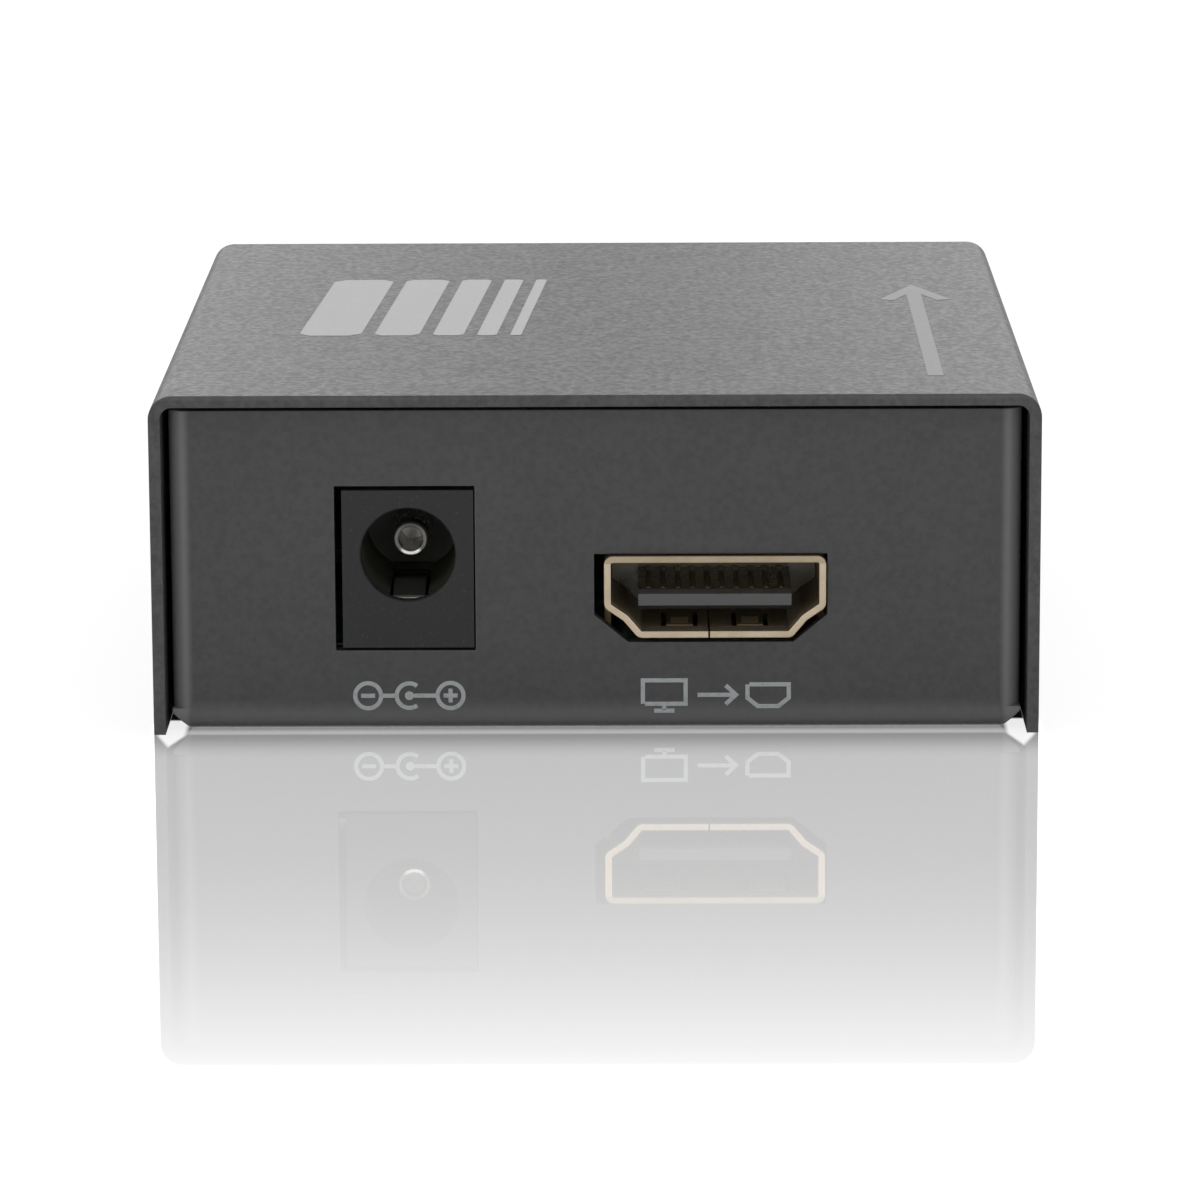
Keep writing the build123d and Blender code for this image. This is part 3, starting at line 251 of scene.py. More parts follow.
edge_rub = edge_rub_group()
powder_skin = powder_skin_group()
drawn_lines = drawn_lines_group()
mould_speckle = mould_speckle_group()
settled_dust = settled_dust_group()


def new_material(name, **plain):
    """A material with its tree, its Principled shader and its Object coordinates; plain values sit on the shader."""
    made = bpy.data.materials.new(name)
    made.use_nodes = True
    tree = Tree(made.node_tree)
    shader = made.node_tree.nodes["Principled BSDF"]
    for key, value in plain.items():
        shader.inputs[key.replace("_", " ")].default_value = value
    place = tree.node("ShaderNodeTexCoord").outputs["Object"]
    return made, tree, shader, place


def finish_shader(tree, shader, colour, roughness, height, distance, normal, strength=1.0, metallic=None):
    """Feeds the changing values into the shader: colour, roughness, a bump of that many metres over the edge normal,
    and where given how metallic it is."""
    links = {"Strength": strength, "Distance": distance, "Height": height, "Normal": normal}
    tree.feed(shader.inputs["Base Color"], colour)
    tree.feed(shader.inputs["Roughness"], roughness)
    tree.feed(shader.inputs["Normal"], tree.node("ShaderNodeBump", links).outputs[0])
    if metallic is not None:
        tree.feed(shader.inputs["Metallic"], metallic)


def powder_paint(name, tone, rubbed_and_lit, radius=0.00022, dust=0.25, contrast=0.20, depth=0.00006, bend_highlight=0.0, top_sheen=0.0):
    """Baked powder paint on sheet steel: pebbled, dull, a little lighter and smoother where edges are worn.

    contrast is how far the pebbles and clouds leave the tone. The bend highlight sets how much lighter the panel's side
    and foot bend are painted, a painted highlight for the light they catch. The top sheen sets how much paler the flat
    top of the cover is painted towards its long bent edges, a painted sheen, and how much smoother it grows there."""
    made, tree, shader, place = new_material(name, Specular_IOR_Level=0.42)
    skin = tree.group(powder_skin, Vector=place, Scale=2150.0)
    rub = tree.group(edge_rub, Vector=place, Radius=radius, Breakup=0.45)
    settled = tree.group(settled_dust, Vector=place, Amount=dust)
    low, high = (shade(*(v * k for v in tone[:3])) for k in (1.0 - contrast, 1.0 + contrast))
    clouds = tree.mix(skin["Cloud"], grey(1.0 - contrast * 0.9), grey(1.0 + contrast * 0.4))
    colour = tree.mix(1.0, tree.mix(skin["Pebble"], low, high), clouds, "MULTIPLY")
    colour = tree.mix(tree.math("MULTIPLY", rub["Mask"], 0.55), colour, rubbed_and_lit)
    # The panel's side and foot bend are painted lighter here: a painted highlight.
    if bend_highlight:
        x, y, z = tree.axes(tree.vector("ABSOLUTE", place))
        across = tree.spread(x, panel_half - 1.55 * MM, panel_half - 0.85 * MM)
        along = tree.spread(y, -panel_y - 1.15 * MM, -panel_y - 0.75 * MM)
        side_bend_highlight = tree.math("MULTIPLY", tree.math("MULTIPLY", across, along), bend_highlight)
        foot_bend_highlight = tree.spread(z, 2.4 * MM, 0.9 * MM)
        foot_bend_highlight = tree.math("MULTIPLY", foot_bend_highlight, tree.spread(z, 0.4 * MM, 0.8 * MM, 0.5, 1.0))
        foot_bend_highlight = tree.math("MULTIPLY", foot_bend_highlight, bend_highlight * 0.5)
        colour = tree.mix(tree.math("MAXIMUM", side_bend_highlight, foot_bend_highlight), colour, rubbed_and_lit)
    colour = tree.mix(settled["Mask"], colour, shade(0.32, 0.31, 0.29))
    rough = tree.spread(skin["Pebble"], 0.0, 1.0, 0.58, 0.44, "LINEAR")
    rough = tree.math("SUBTRACT", rough, tree.math("MULTIPLY", rub["Mask"], 0.10))
    # The flat top is painted paler and smoother towards its long edges: a painted sheen.
    if top_sheen:
        x, _, z = tree.axes(tree.vector("ABSOLUTE", place))
        flat = tree.spread(z, cover_z - 0.4 * MM, cover_z - 0.2 * MM)
        top_sheen_mask = tree.math("MULTIPLY", tree.spread(x, 3.0 * MM, 28.0 * MM, 0.0, top_sheen, "LINEAR"), flat)
        colour = tree.mix(top_sheen_mask, colour, rubbed_and_lit)
        rough = tree.math("SUBTRACT", rough, tree.math("MULTIPLY", top_sheen_mask, 0.30))
    finish_shader(tree, shader, colour, rough, skin["Height"], depth, rub["Normal"], 0.55)
    return made


def metal(name, bright, dull, rough, stretch, depth=0.000004, radius=0.00012, tarnish=0.6, painted_light=None, **plain):
    """Plated or bare metal: drawn lines, tarnish that dulls and darkens it in patches, edges polished by handling.

    The painted-light function, where given, takes the tree and the Object coordinates and gives back the mask and the
    colour of painted shade, and how much of the metal still gleams through it."""
    made, tree, shader, place = new_material(name, Metallic=1.0, **plain)
    lines = tree.group(drawn_lines, Vector=place, Stretch=stretch)
    rub = tree.group(edge_rub, Vector=place, Radius=radius, Breakup=0.3)
    amount = tree.math("MULTIPLY", lines["Tarnish"], tarnish)
    colour = tree.mix(amount, bright, dull)
    colour = tree.mix(tree.math("MULTIPLY", lines["Line"], 0.25), colour, dull)
    colour = tree.mix(tree.math("MULTIPLY", rub["Mask"], 0.5), colour, bright)
    # Painted shade and highlights from the given function go on here.
    if painted_light:
        mask, dark, gleam = painted_light(tree, place)
        colour = tree.mix(mask, colour, dark)
    dullness = tree.math("ADD", rough, tree.math("MULTIPLY", amount, 0.14))
    dullness = tree.math("ADD", dullness, tree.math("MULTIPLY", lines["Line"], 0.06))
    dullness = tree.math("SUBTRACT", dullness, tree.math("MULTIPLY", rub["Mask"], 0.07), clamp=True)
    bare = None
    if painted_light:
        dullness = tree.math("MAXIMUM", dullness, tree.math("MULTIPLY", mask, 0.62))
        bare = tree.math("SUBTRACT", 1.0, tree.math("MULTIPLY", mask, 1.0 - gleam))
    finish_shader(tree, shader, colour, dullness, lines["Height"], depth, rub["Normal"], 0.8, bare)
    return made


def moulding(name, tone, fibre, rough, scale=5200.0, depth=0.000012, radius=0.0001, level=0.4, painted_tint=None, **plain):
    """Moulded plastic: spark eroded grain, paler fibres, slow flow marks and edges that catch a little light.

    The painted-tint function, where given, takes the tree and the Object coordinates and gives back a mask and a
    colour: painted light in the inlet's bore, a painted reflection on the socket's tongue."""
    made, tree, shader, place = new_material(name, Specular_IOR_Level=level, **plain)
    speckle = tree.group(mould_speckle, Vector=place, Scale=scale)
    rub = tree.group(edge_rub, Vector=place, Radius=radius, Breakup=0.5)
    colour = tree.mix(tree.math("MULTIPLY", speckle["Fibre"], 0.5), tone, fibre)
    colour = tree.mix(1.0, colour, tree.mix(speckle["Flow"], grey(0.82), grey(1.0)), "MULTIPLY")
    colour = tree.mix(tree.math("MULTIPLY", rub["Mask"], 0.35), colour, fibre)
    # Painted light and painted reflection go on here.
    if painted_tint:
        mask, brown = painted_tint(tree, place)
        colour = tree.mix(mask, colour, brown)
    dullness = tree.math("ADD", rough, tree.math("MULTIPLY", speckle["Flow"], 0.10))
    dullness = tree.math("SUBTRACT", dullness, tree.math("MULTIPLY", rub["Mask"], 0.12), clamp=True)
    finish_shader(tree, shader, colour, dullness, speckle["Height"], depth, rub["Normal"], 0.7)
    return made


def lens(name, tint, pale):
    """A clear tinted light guide: smooth, faintly clouded inside, with fine scratches."""
    made, tree, shader, place = new_material(name, IOR=1.49, Transmission_Weight=0.55, Specular_IOR_Level=0.5)
    lines = tree.group(drawn_lines, Vector=place, Stretch=(2600.0, 900.0, 4200.0))
    speckle = tree.group(mould_speckle, Vector=place, Scale=3000.0)
    rub = tree.group(edge_rub, Vector=place, Radius=0.00015, Breakup=0.4)
    colour = tree.mix(tree.math("MULTIPLY", speckle["Flow"], 0.5), tint, pale)
    rough = tree.spread(lines["Line"], 0.0, 1.0, 0.10, 0.24, "LINEAR")
    finish_shader(tree, shader, colour, rough, lines["Height"], 0.000003, rub["Normal"], 0.6)
    return made


def laminate(name):
    """Printed circuit laminate: green solder resist over a copper pattern, with the weave of the glass showing.

    Its front edge, which lies in the gap beside the inlet, is painted dark as painted shade."""
    made, tree, shader, place = new_material(name, Specular_IOR_Level=0.55)
    cloth = {"Vector": place, "Scale": 900.0, "Mortar Size": 0.06}
    cloth.update({"Color1": grey(0.4), "Color2": grey(0.6), "Mortar": grey(1.0)})
    weave = tree.node("ShaderNodeTexBrick", cloth).outputs["Fac"]
    copper = tree.spread(tree.cells(place, 420.0, distance="CHEBYCHEV"), 0.40, 0.43)
    rub = tree.group(edge_rub, Vector=place, Radius=0.00015, Breakup=0.4)
    speckle = tree.group(mould_speckle, Vector=place, Scale=4200.0)
    colour = tree.mix(copper, shade(0.012, 0.060, 0.030), shade(0.022, 0.115, 0.050))
    colour = tree.mix(tree.math("MULTIPLY", weave, 0.15), colour, shade(0.05, 0.16, 0.08))
    colour = tree.mix(rub["Mask"], colour, shade(0.30, 0.33, 0.18))
    # The board's front edge is painted dark: painted shade.
    front = tree.spread(tree.axes(place)[1], board_low.y + 0.2 * MM, board_low.y + 1.2 * MM, 1.0, 0.0)
    colour = tree.mix(front, colour, grey(0.006))
    rough = tree.spread(speckle["Flow"], 0.0, 1.0, 0.26, 0.42, "LINEAR")
    height = tree.math("ADD", tree.math("MULTIPLY", copper, 0.7), tree.math("MULTIPLY", weave, 0.2))
    finish_shader(tree, shader, colour, rough, height, 0.00003, rub["Normal"], 0.6)
    return made


def ink(name, tone, worn, rough=0.5):
    """Pad printed ink: a flat dull film with a grainy edge, thin where the pebbled paint below comes through."""
    made, tree, shader, place = new_material(name, Specular_IOR_Level=0.3)
    skin = tree.group(powder_skin, Vector=place, Scale=2600.0)
    rub = tree.group(edge_rub, Vector=place, Radius=0.00006, Breakup=0.6)
    thin = tree.spread(skin["Pebble"], 0.55, 1.0, 0.0, 0.5)
    colour = tree.mix(thin, tone, worn)
    colour = tree.mix(tree.math("MULTIPLY", rub["Mask"], 0.3), colour, worn)
    dullness = tree.spread(skin["Pebble"], 0.0, 1.0, rough + 0.08, rough - 0.06, "LINEAR")
    finish_shader(tree, shader, colour, dullness, skin["Height"], 0.00004, rub["Normal"], 0.5)
    return made


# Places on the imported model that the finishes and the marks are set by
panel_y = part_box("base_chassis")[0].y
panel_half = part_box("base_chassis")[1].x
cover_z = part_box("top_cover")[1].z
video_low, video_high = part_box("video_socket_shell")
jack_low, jack_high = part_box("dc_jack_housing")
pin_low, pin_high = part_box("dc_jack_pin")
leaf_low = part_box("dc_jack_sleeve_spring")[0]
board_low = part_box("circuit_board")[0]
tongue_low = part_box("video_socket_insulator")[0]
pin_radius = 1.25 * MM
pin_bore = 0.85 * MM
pin_x = (jack_low.x + jack_high.x) / 2
pin_z = pin_high.z - pin_radius


def socket_painted_shade(tree, place):
    """Painted shade on the video socket's gold: it darkens behind the rim, and the rim is painted darkest above and
    brightest below, as the light falls on it.
    """
    _, y, z = tree.axes(place)
    inside = tree.spread(y, video_low.y + 0.10 * MM, video_low.y + 1.6 * MM, 0.0, 0.82)
    flank = tree.spread(z, video_low.z + 1.2 * MM, video_low.z + 2.4 * MM, 0.0, 0.32)
    upper = tree.spread(z, video_high.z - 0.70 * MM, video_high.z - 0.46 * MM, 0.0, 0.58)
    return tree.math("MAXIMUM", inside, tree.math("MAXIMUM", flank, upper)), shade(0.115, 0.083, 0.027), 0.6


def tongue_painted_reflection(tree, place):
    """Behind its tip the moulding is painted the brown of the gilt walls around it, a painted reflection."""
    behind = tree.spread(tree.axes(place)[1], tongue_low.y + 0.3 * MM, tongue_low.y + 1.5 * MM)
    return behind, shade(0.072, 0.058, 0.024)


def bore_painted_light(tree, place):
    """Inside the inlet the moulding is painted a little paler than in its face, as painted light in the bore."""
    inside = tree.spread(tree.axes(place)[1], jack_low.y + 0.5 * MM, jack_low.y + 2.5 * MM)
    return inside, shade(0.050, 0.049, 0.036)


def contact_painted_shade(tree, place):
    """The contacts are painted dark inside the socket as painted shade, but at their heels behind the moulding they
    keep their gold.
    """
    inside = tree.spread(tree.axes(place)[1], video_low.y + 6.0 * MM, video_low.y + 8.0 * MM, 0.86, 0.0)
    return inside, shade(0.040, 0.034, 0.022), 0.5


def pin_painted_light(tree, place):
    """Darker nickel over the pin's tip, painted dark in its hollow as painted shade, and left bright in a crescent
    along its lower side as a painted highlight.
    """
    away = tree.vector("MULTIPLY", tree.vector("SUBTRACT", place, (pin_x, 0.0, pin_z)), (1.0, 0.0, 1.0))
    radius = tree.vector("LENGTH", away, out="Value")
    x, _, z = tree.axes(away)
    sideways = tree.math("ABSOLUTE", x)
    hollow = tree.spread(radius, pin_bore - 0.03 * MM, pin_bore + 0.02 * MM, 0.70, 0.0)
    # The crescent left bright here is a painted highlight.
    lower = tree.spread(z, -0.50 * MM, -0.80 * MM)
    middle = tree.spread(sideways, 0.42 * MM, 0.82 * MM, 1.0, 0.0)
    worn = tree.math("MULTIPLY", lower, middle)
    flank = tree.spread(sideways, 0.30 * MM, 1.0 * MM, 0.90, 0.80)
    ring = tree.math("MULTIPLY", tree.math("SUBTRACT", 1.0, worn), flank)
    tip = tree.spread(tree.axes(place)[1], pin_low.y + 0.9 * MM, pin_low.y + 1.2 * MM, 1.0, 0.0)
    return tree.math("MAXIMUM", hollow, tree.math("MULTIPLY", ring, tip)), shade(0.060, 0.060, 0.056), 1.0


def leaf_painted_shade(tree, place):
    """The sleeve spring is painted dark as painted shade, all but its very tip, which is left bright to glint."""
    leaf_shade = tree.spread(tree.axes(place)[1], leaf_low.y + 0.06 * MM, leaf_low.y + 0.35 * MM, 0.0, 0.98)
    return leaf_shade, shade(0.008, 0.0075, 0.0055), 0.0


paint_tone = shade(0.0465, 0.0465, 0.0467)
# The cover's worn-edge tone, also laid on its top as a painted sheen.
paint_rubbed_and_lit = shade(0.105, 0.105, 0.104)
# The panel has the cover's paint, set darker here as painted shade on the front.
panel_tone_shaded = shade(0.0390, 0.0390, 0.0392)

finishes = {
    "cover_coat": powder_paint("cover_paint", paint_tone, paint_rubbed_and_lit, top_sheen=0.23),
    # The chassis' worn-edge tone below is also its painted bend highlight.
    "chassis_coat": powder_paint("chassis_paint", panel_tone_shaded, shade(0.135, 0.135, 0.134), 0.00016, 0.12, 0.07,
                                 0.00003, 0.9),
    "black_screw": metal("blackened_screw", shade(0.060, 0.060, 0.064), shade(0.018, 0.018, 0.019), 0.34,
                         (2400.0, 2400.0, 2400.0), depth=0.000006),
    "zinc_steel": metal("zinc_plated_steel", shade(0.66, 0.68, 0.70), shade(0.40, 0.41, 0.40), 0.26,
                        (3200.0, 900.0, 3200.0)),
    "board_laminate": laminate("green_laminate"),
    "gold_plate": metal("gold_plated_shell", shade(0.72, 0.60, 0.46), shade(0.52, 0.42, 0.30), 0.27,
                        (900.0, 420.0, 6500.0), depth=0.000005, painted_light=socket_painted_shade),
    "contact_gold": metal("gold_flashed_contact", shade(0.74, 0.55, 0.25), shade(0.42, 0.30, 0.14), 0.26,
                          (5200.0, 500.0, 5200.0)),
    "black_moulding": moulding("black_nylon", shade(0.016, 0.017, 0.017), shade(0.050, 0.050, 0.050), 0.46),
    "jack_moulding": moulding("inlet_black_plastic", grey(0.015), shade(0.048, 0.048, 0.047), 0.44, level=0.30,
                              painted_tint=bore_painted_light),
    "nickel_plate": metal("nickel_plated_pin", shade(0.74, 0.73, 0.69), shade(0.46, 0.44, 0.40), 0.20,
                          (4200.0, 700.0, 4200.0)),
    "shield_steel": metal("tinned_shield", shade(0.70, 0.71, 0.71), shade(0.44, 0.45, 0.45), 0.28,
                          (700.0, 5200.0, 700.0)),
    "green_lens": lens("green_light_guide", shade(0.22, 0.62, 0.26), shade(0.50, 0.78, 0.48)),
    "amber_lens": lens("amber_light_guide", shade(0.80, 0.46, 0.08), shade(0.88, 0.66, 0.30)),
    "tinned_lead": metal("tinned_lead", shade(0.70, 0.70, 0.70), shade(0.44, 0.44, 0.43), 0.36,
                         (2400.0, 2400.0, 700.0)),
    "chip_resin": moulding("chip_resin", shade(0.020, 0.020, 0.021), shade(0.060, 0.060, 0.060), 0.52, 6800.0),
    "pad_silicone": moulding("grey_silicone", shade(0.26, 0.29, 0.33), shade(0.36, 0.38, 0.40), 0.62, 3600.0),
    "anodised_aluminium": metal("black_anodised_sink", shade(0.055, 0.055, 0.060), shade(0.030, 0.030, 0.033), 0.42,
                                (900.0, 5200.0, 900.0)),
    "ferrite": moulding("ferrite", shade(0.045, 0.045, 0.047), shade(0.11, 0.11, 0.11), 0.48, 4200.0, 0.00002),
    "capacitor_can": metal("capacitor_can", shade(0.72, 0.73, 0.74), shade(0.52, 0.53, 0.54), 0.30,
                           (3200.0, 3200.0, 500.0)),
    "tan_ceramic": moulding("tan_ceramic", shade(0.34, 0.22, 0.13), shade(0.50, 0.38, 0.26), 0.40, 4200.0),
}
tongue_finish = moulding("socket_tongue_nylon", shade(0.016, 0.016, 0.016), shade(0.034, 0.033, 0.032), 0.22,
                         radius=0.00003, level=0.95, painted_tint=tongue_painted_reflection)
leaf_finish = metal("spring_leaf_painted_shade", shade(0.62, 0.61, 0.56), shade(0.44, 0.43, 0.39), 0.34,
                    (4200.0, 600.0, 4200.0), painted_light=leaf_painted_shade)
pin_finish = metal("centre_pin_painted_light", shade(0.86, 0.85, 0.80), shade(0.60, 0.58, 0.54), 0.24,
                   (4200.0, 700.0, 4200.0), tarnish=0.3, painted_light=pin_painted_light)
shaded_contact = metal("shaded_socket_contact", shade(0.74, 0.55, 0.25), shade(0.42, 0.30, 0.14), 0.30,
                       (5200.0, 500.0, 5200.0), painted_light=contact_painted_shade)

# Every piece gets the finish of its slot in the record; the tongue, the inlet's pin and spring parts and the socket's
# contacts get their own, which carry painted shade, painted highlights and a painted reflection
slot_of = {}
for entry in frame["record"]["materials"]:
    for node_name in entry.get("nodes", []):
        slot_of[node_name] = entry["slot"]
for name, piece in pieces.items():
    for slot in piece.material_slots:
        slot.material = finishes[slot_of.get(name, slot.material.name.split(".")[0])]
pieces["video_socket_insulator"].material_slots[0].material = tongue_finish
for name in ("dc_jack_sleeve_spring", "dc_jack_sleeve_terminal", "dc_jack_switch_contact"):
    pieces[name].material_slots[0].material = leaf_finish
pieces["dc_jack_pin"].material_slots[0].material = pin_finish
pieces["video_socket_contacts"].material_slots[0].material = shaded_contact


# ------------------------------------------------------------------ printed marks


def unit(rows):
    """Each row divided by its own length."""
    return rows / np.linalg.norm(rows, axis=1)[:, None]


def band(ring, levels):
    """A closed cap over an outline as a surface of two parameters.

    Row i of the grid is the outline moved inwards by levels[i][0] and lifted to levels[i][1]; column j is the j-th
    point of the ring, so the grid wraps in j, and the first and last rows are closed by faces. ring holds
    (u, v, inward u, inward v) for each point: point = (u, v) + inset * inward, with its height third."""
    inset = np.array([level[0] for level in levels])[:, None]
    height = np.array([level[1] for level in levels])[:, None]
    u = ring[None, :, 0] + inset * ring[None, :, 2]
    v = ring[None, :, 1] + inset * ring[None, :, 3]
    w = np.broadcast_to(height, u.shape)
    points = np.stack([u, v, w], axis=-1)
    rows, columns = u.shape
    index = np.arange(rows * columns).reshape(rows, columns)
    right = np.roll(index, -1, axis=1)
    sides = np.stack([index[:-1], right[:-1], right[1:], index[1:]], axis=-1).reshape(-1, 4)
    return points.reshape(-1, 3), sides.tolist(), [index[0][::-1].tolist(), index[-1].tolist()]


def bar_ring(width, height, corner, count=32):
    """Outline of a rounded bar: angle a walks round, each quarter swings about its own corner's centre.

    u = sign(cos a) * (width / 2 - corner) + corner * cos a, and v the same with sin a and the height."""
    a = (np.arange(count) + 0.5) * 2 * np.pi / count
    u = np.sign(np.cos(a)) * (width / 2 - corner) + corner * np.cos(a)
    v = np.sign(np.sin(a)) * (height / 2 - corner) + corner * np.sin(a)
    return np.stack([u, v, -np.cos(a), -np.sin(a)], axis=1)


def path_ring(points, width):
    """Outline of a stroke of that width along an open path: out along one side and back along the other.

    The offset at each point is half the width along the mean normal of its two runs, lengthened by one over the
    cosine of half the turn, and each end is cut square."""
    p = np.asarray(points, float)
    run = unit(np.diff(p, axis=0))
    normal = np.stack([-run[:, 1], run[:, 0]], axis=1)
    before = np.vstack([normal[:1], normal])
    after = np.vstack([normal, normal[-1:]])
    mean = unit(before + after)
    mean /= np.sum(mean * after, axis=1)[:, None]
    left = p + mean * width / 2
    right = p - mean * width / 2
    edge = np.vstack([right, left[::-1]])
    inward = np.vstack([mean, -mean[::-1]])
    return np.hstack([edge, inward])


def arrow_ring(length, reach, splay, width, upright=False):
    """Outline of an arrow as one closed shape: a bar of that width from 0 to length along u, with two barbs.

    The middle lines of the barbs leave the bar's middle line at length, and run back by reach and out by splay. Their
    outer edges meet ahead of it by half a width over the sine of their angle to the bar. Each corner's inward way is
    the sum of the unit normals of its two sides over one plus their dot product, so the inset is even. upright turns
    the arrow to point along v."""
    half = width / 2
    slope = math.hypot(reach, splay)
    ahead = half * slope / splay
    side = [
        (0.0, -half),
        (length - ahead - half * reach / splay, -half),
        (length - reach - half * splay / slope, half * reach / slope - splay),
        (length - reach + half * splay / slope, -half * reach / slope - splay),
    ]
    p = np.array(side + [(length + ahead, 0.0)] + [(u, -v) for u, v in reversed(side)])
    if upright:
        p = np.stack([-p[:, 1], p[:, 0]], axis=1)
    run = unit(np.roll(p, -1, axis=0) - p)
    normal = np.stack([-run[:, 1], run[:, 0]], axis=1)
    before = np.roll(normal, 1, axis=0)
    inward = (before + normal) / (1.0 + np.sum(before * normal, axis=1))[:, None]
    return np.hstack([p, inward])


def stripe_ring(width, length, slant):
    """Outline of a leaning stripe: a bar whose far end is pushed sideways by slant, and whose corners are cut off.

    Each corner gives two points, one step back and one step on along its sides. Inwards is towards the middle."""
    u = np.array([-width / 2, width / 2, width / 2 + slant, -width / 2 + slant])
    v = np.array([-length / 2, -length / 2, length / 2, length / 2])
    corner = np.stack([u - slant / 2, v], axis=1)
    onwards = unit(np.roll(corner, -1, axis=0) - corner)
    back = unit(np.roll(corner, 1, axis=0) - corner)
    step = min(width, length) * 0.18
    edge = np.stack([corner + back * step, corner + onwards * step], axis=1).reshape(-1, 2)
    return np.hstack([edge, -unit(edge)])


def mark(name, shapes, side, finish, thickness=0.00003):
    """One printed mark: every shape is (ring, centre u, centre v), lifted off its surface by the ink's thickness.

    side turns the flat (u, v, height) into the object's own frame: "front" lays u along x and v along z on the
    front panel, "top" lays u along x and v along y on the cover. The film's edge rises from inside the paint and is
    then drawn in by one thickness."""
    verts, faces, start = [], [], 0
    levels = [(0.0, -thickness), (0.0, thickness * 0.55), (thickness, thickness)]
    for ring, u, v in shapes:
        moved = ring.copy()
        moved[:, 0] += u
        moved[:, 1] += v
        points, sides, caps = band(moved, levels)
        verts.append(points)
        faces.extend([[k + start for k in face] for face in sides + caps])
        start += len(points)
    flat = np.vstack(verts)
    if side == "front":
        solid = np.stack([flat[:, 0], panel_y - flat[:, 2], flat[:, 1]], axis=1)
    else:
        solid = np.stack([flat[:, 0], flat[:, 1], cover_z + flat[:, 2]], axis=1)
    mesh = bpy.data.meshes.new(name)
    mesh.from_pydata(solid.tolist(), [], faces)
    mesh.update()
    made = bpy.data.objects.new(name, mesh)
    scene.collection.objects.link(made)
    mesh.materials.append(finish)
    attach(made, "case")


panel_ink = ink("panel_ink", shade(0.29, 0.305, 0.31), shade(0.20, 0.21, 0.215))
cover_ink = ink("cover_ink", shade(0.36, 0.36, 0.36), shade(0.24, 0.24, 0.24))
pale_ink = ink("cover_ink_thin", shade(0.25, 0.25, 0.25), shade(0.15, 0.15, 0.15))

stroke = 0.30 * MM  # breadth of the lines printed on the panel
mark_z = 2.45 * MM  # height of the panel's two signs


def arc(radius, start, end, count=25):
    """Points on a circle: (radius cos a, radius sin a) for a from start to end in degrees."""
    a = np.radians(np.linspace(start, end, count))
    return np.stack([radius * np.cos(a), radius * np.sin(a)], axis=1)


def bent(points):
    """A stroke along these points, given in millimetres."""
    return path_ring(np.array(points) * MM, stroke)


def line(x0, y0, x1, y1):
    """A straight stroke between two points, given in millimetres."""
    return bent([(x0, y0), (x1, y1)])


# Inlet: the plain sign for the two poles of a round plug, minus outside and plus inside
pole_step = 2.80 * MM
poles = []
for way in (-1, 1):
    poles.append((path_ring(arc(0.88 * MM, 2, 362, 41), stroke), pin_x + way * pole_step, mark_z))
    poles.append((line(-0.48, 0, 0.48, 0), pin_x + way * pole_step, mark_z))
for way in (-1, 1):
    poles.append((bar_ring(stroke, 0.37 * MM, stroke * 0.2), pin_x + pole_step, mark_z + way * 0.305 * MM))
poles += [
    (path_ring(arc(0.86 * MM, 52, 308), stroke), pin_x, mark_z),
    (bar_ring(0.62 * MM, 0.62 * MM, 0.31 * MM), pin_x, mark_z),
    (line(-1.80, 0, -0.98, 0), pin_x, mark_z),
    (line(0.31, 0, 1.80, 0), pin_x, mark_z),
]
mark("inlet_poles", poles, "front", panel_ink)

# Picture in: a screen, an arrow and the outline of the socket
video_x = (video_low.x + video_high.x) / 2
screen = [(-4.9, -0.62), (-4.9, 1.02), (-2.0, 1.02), (-2.0, -0.62), (-4.78, -0.62)]
socket = [(2.2, 0.72), (2.2, -0.22), (2.9, -0.80), (4.3, -0.80), (5.0, -0.22), (5.0, 0.72), (2.32, 0.72)]
picture = [
    (bent(screen), video_x, mark_z),
    (line(-3.45, -0.74, -3.45, -1.02), video_x, mark_z),
    (line(-4.15, -1.10, -2.75, -1.10), video_x, mark_z),
    (arrow_ring(2.62 * MM, 0.70 * MM, 0.66 * MM, stroke), video_x - 1.20 * MM, mark_z),
    (bent(socket), video_x, mark_z),
]
mark("picture_in", picture, "front", panel_ink)

# Cover: plain leaning stripes, broad to narrow, and one arrow that points to the rear
stripe_gap = 0.95 * MM
stripe_left = -20.4 * MM
stripes = []
for millimetres in (4.4, 3.2, 2.2, 1.4, 0.8):
    width = millimetres * MM
    stripes.append((stripe_ring(width, 23.0 * MM, 1.5 * MM), stripe_left + width / 2, 2.8 * MM))
    stripe_left += width + stripe_gap
mark("cover_stripes", stripes, "top", cover_ink)
runner = [(arrow_ring(34.6 * MM, 5.0 * MM, 2.1 * MM, 1.1 * MM, upright=True), 23.2 * MM, -24.5 * MM)]
mark("cover_runner", runner, "top", pale_ink)


# ------------------------------------------------------------------ floor, light and background


def bare_material(name):
    """A material whose tree holds only its output node; gives back the material, the tree and that node's socket."""
    made = bpy.data.materials.new(name)
    made.use_nodes = True
    made.node_tree.nodes.clear()
    tree = Tree(made.node_tree)
    return made, tree, tree.node("ShaderNodeOutputMaterial").inputs["Surface"]


def sheet_of(name, corners, finish):
    """A flat stage face through four corners, given in turn so that it faces the object."""
    mesh = bpy.data.meshes.new(name)
    mesh.from_pydata(corners, [], [(0, 1, 2, 3)])
    made = bpy.data.objects.new(name, mesh)
    mesh.materials.append(finish)
    scene.collection.objects.link(made)
    return made


# How strongly the floor mirrors, set along y before the case and under its lip. Each row of four goes from its first
# place to its second, and from its third value to its fourth. The image's fade is raised to a power first
foot_y = -31.2 * MM
image_strength = 0.61
image_fade = (-109.5 * MM, -38.0 * MM, 1.0, 0.0)
image_fade_power = 2.85
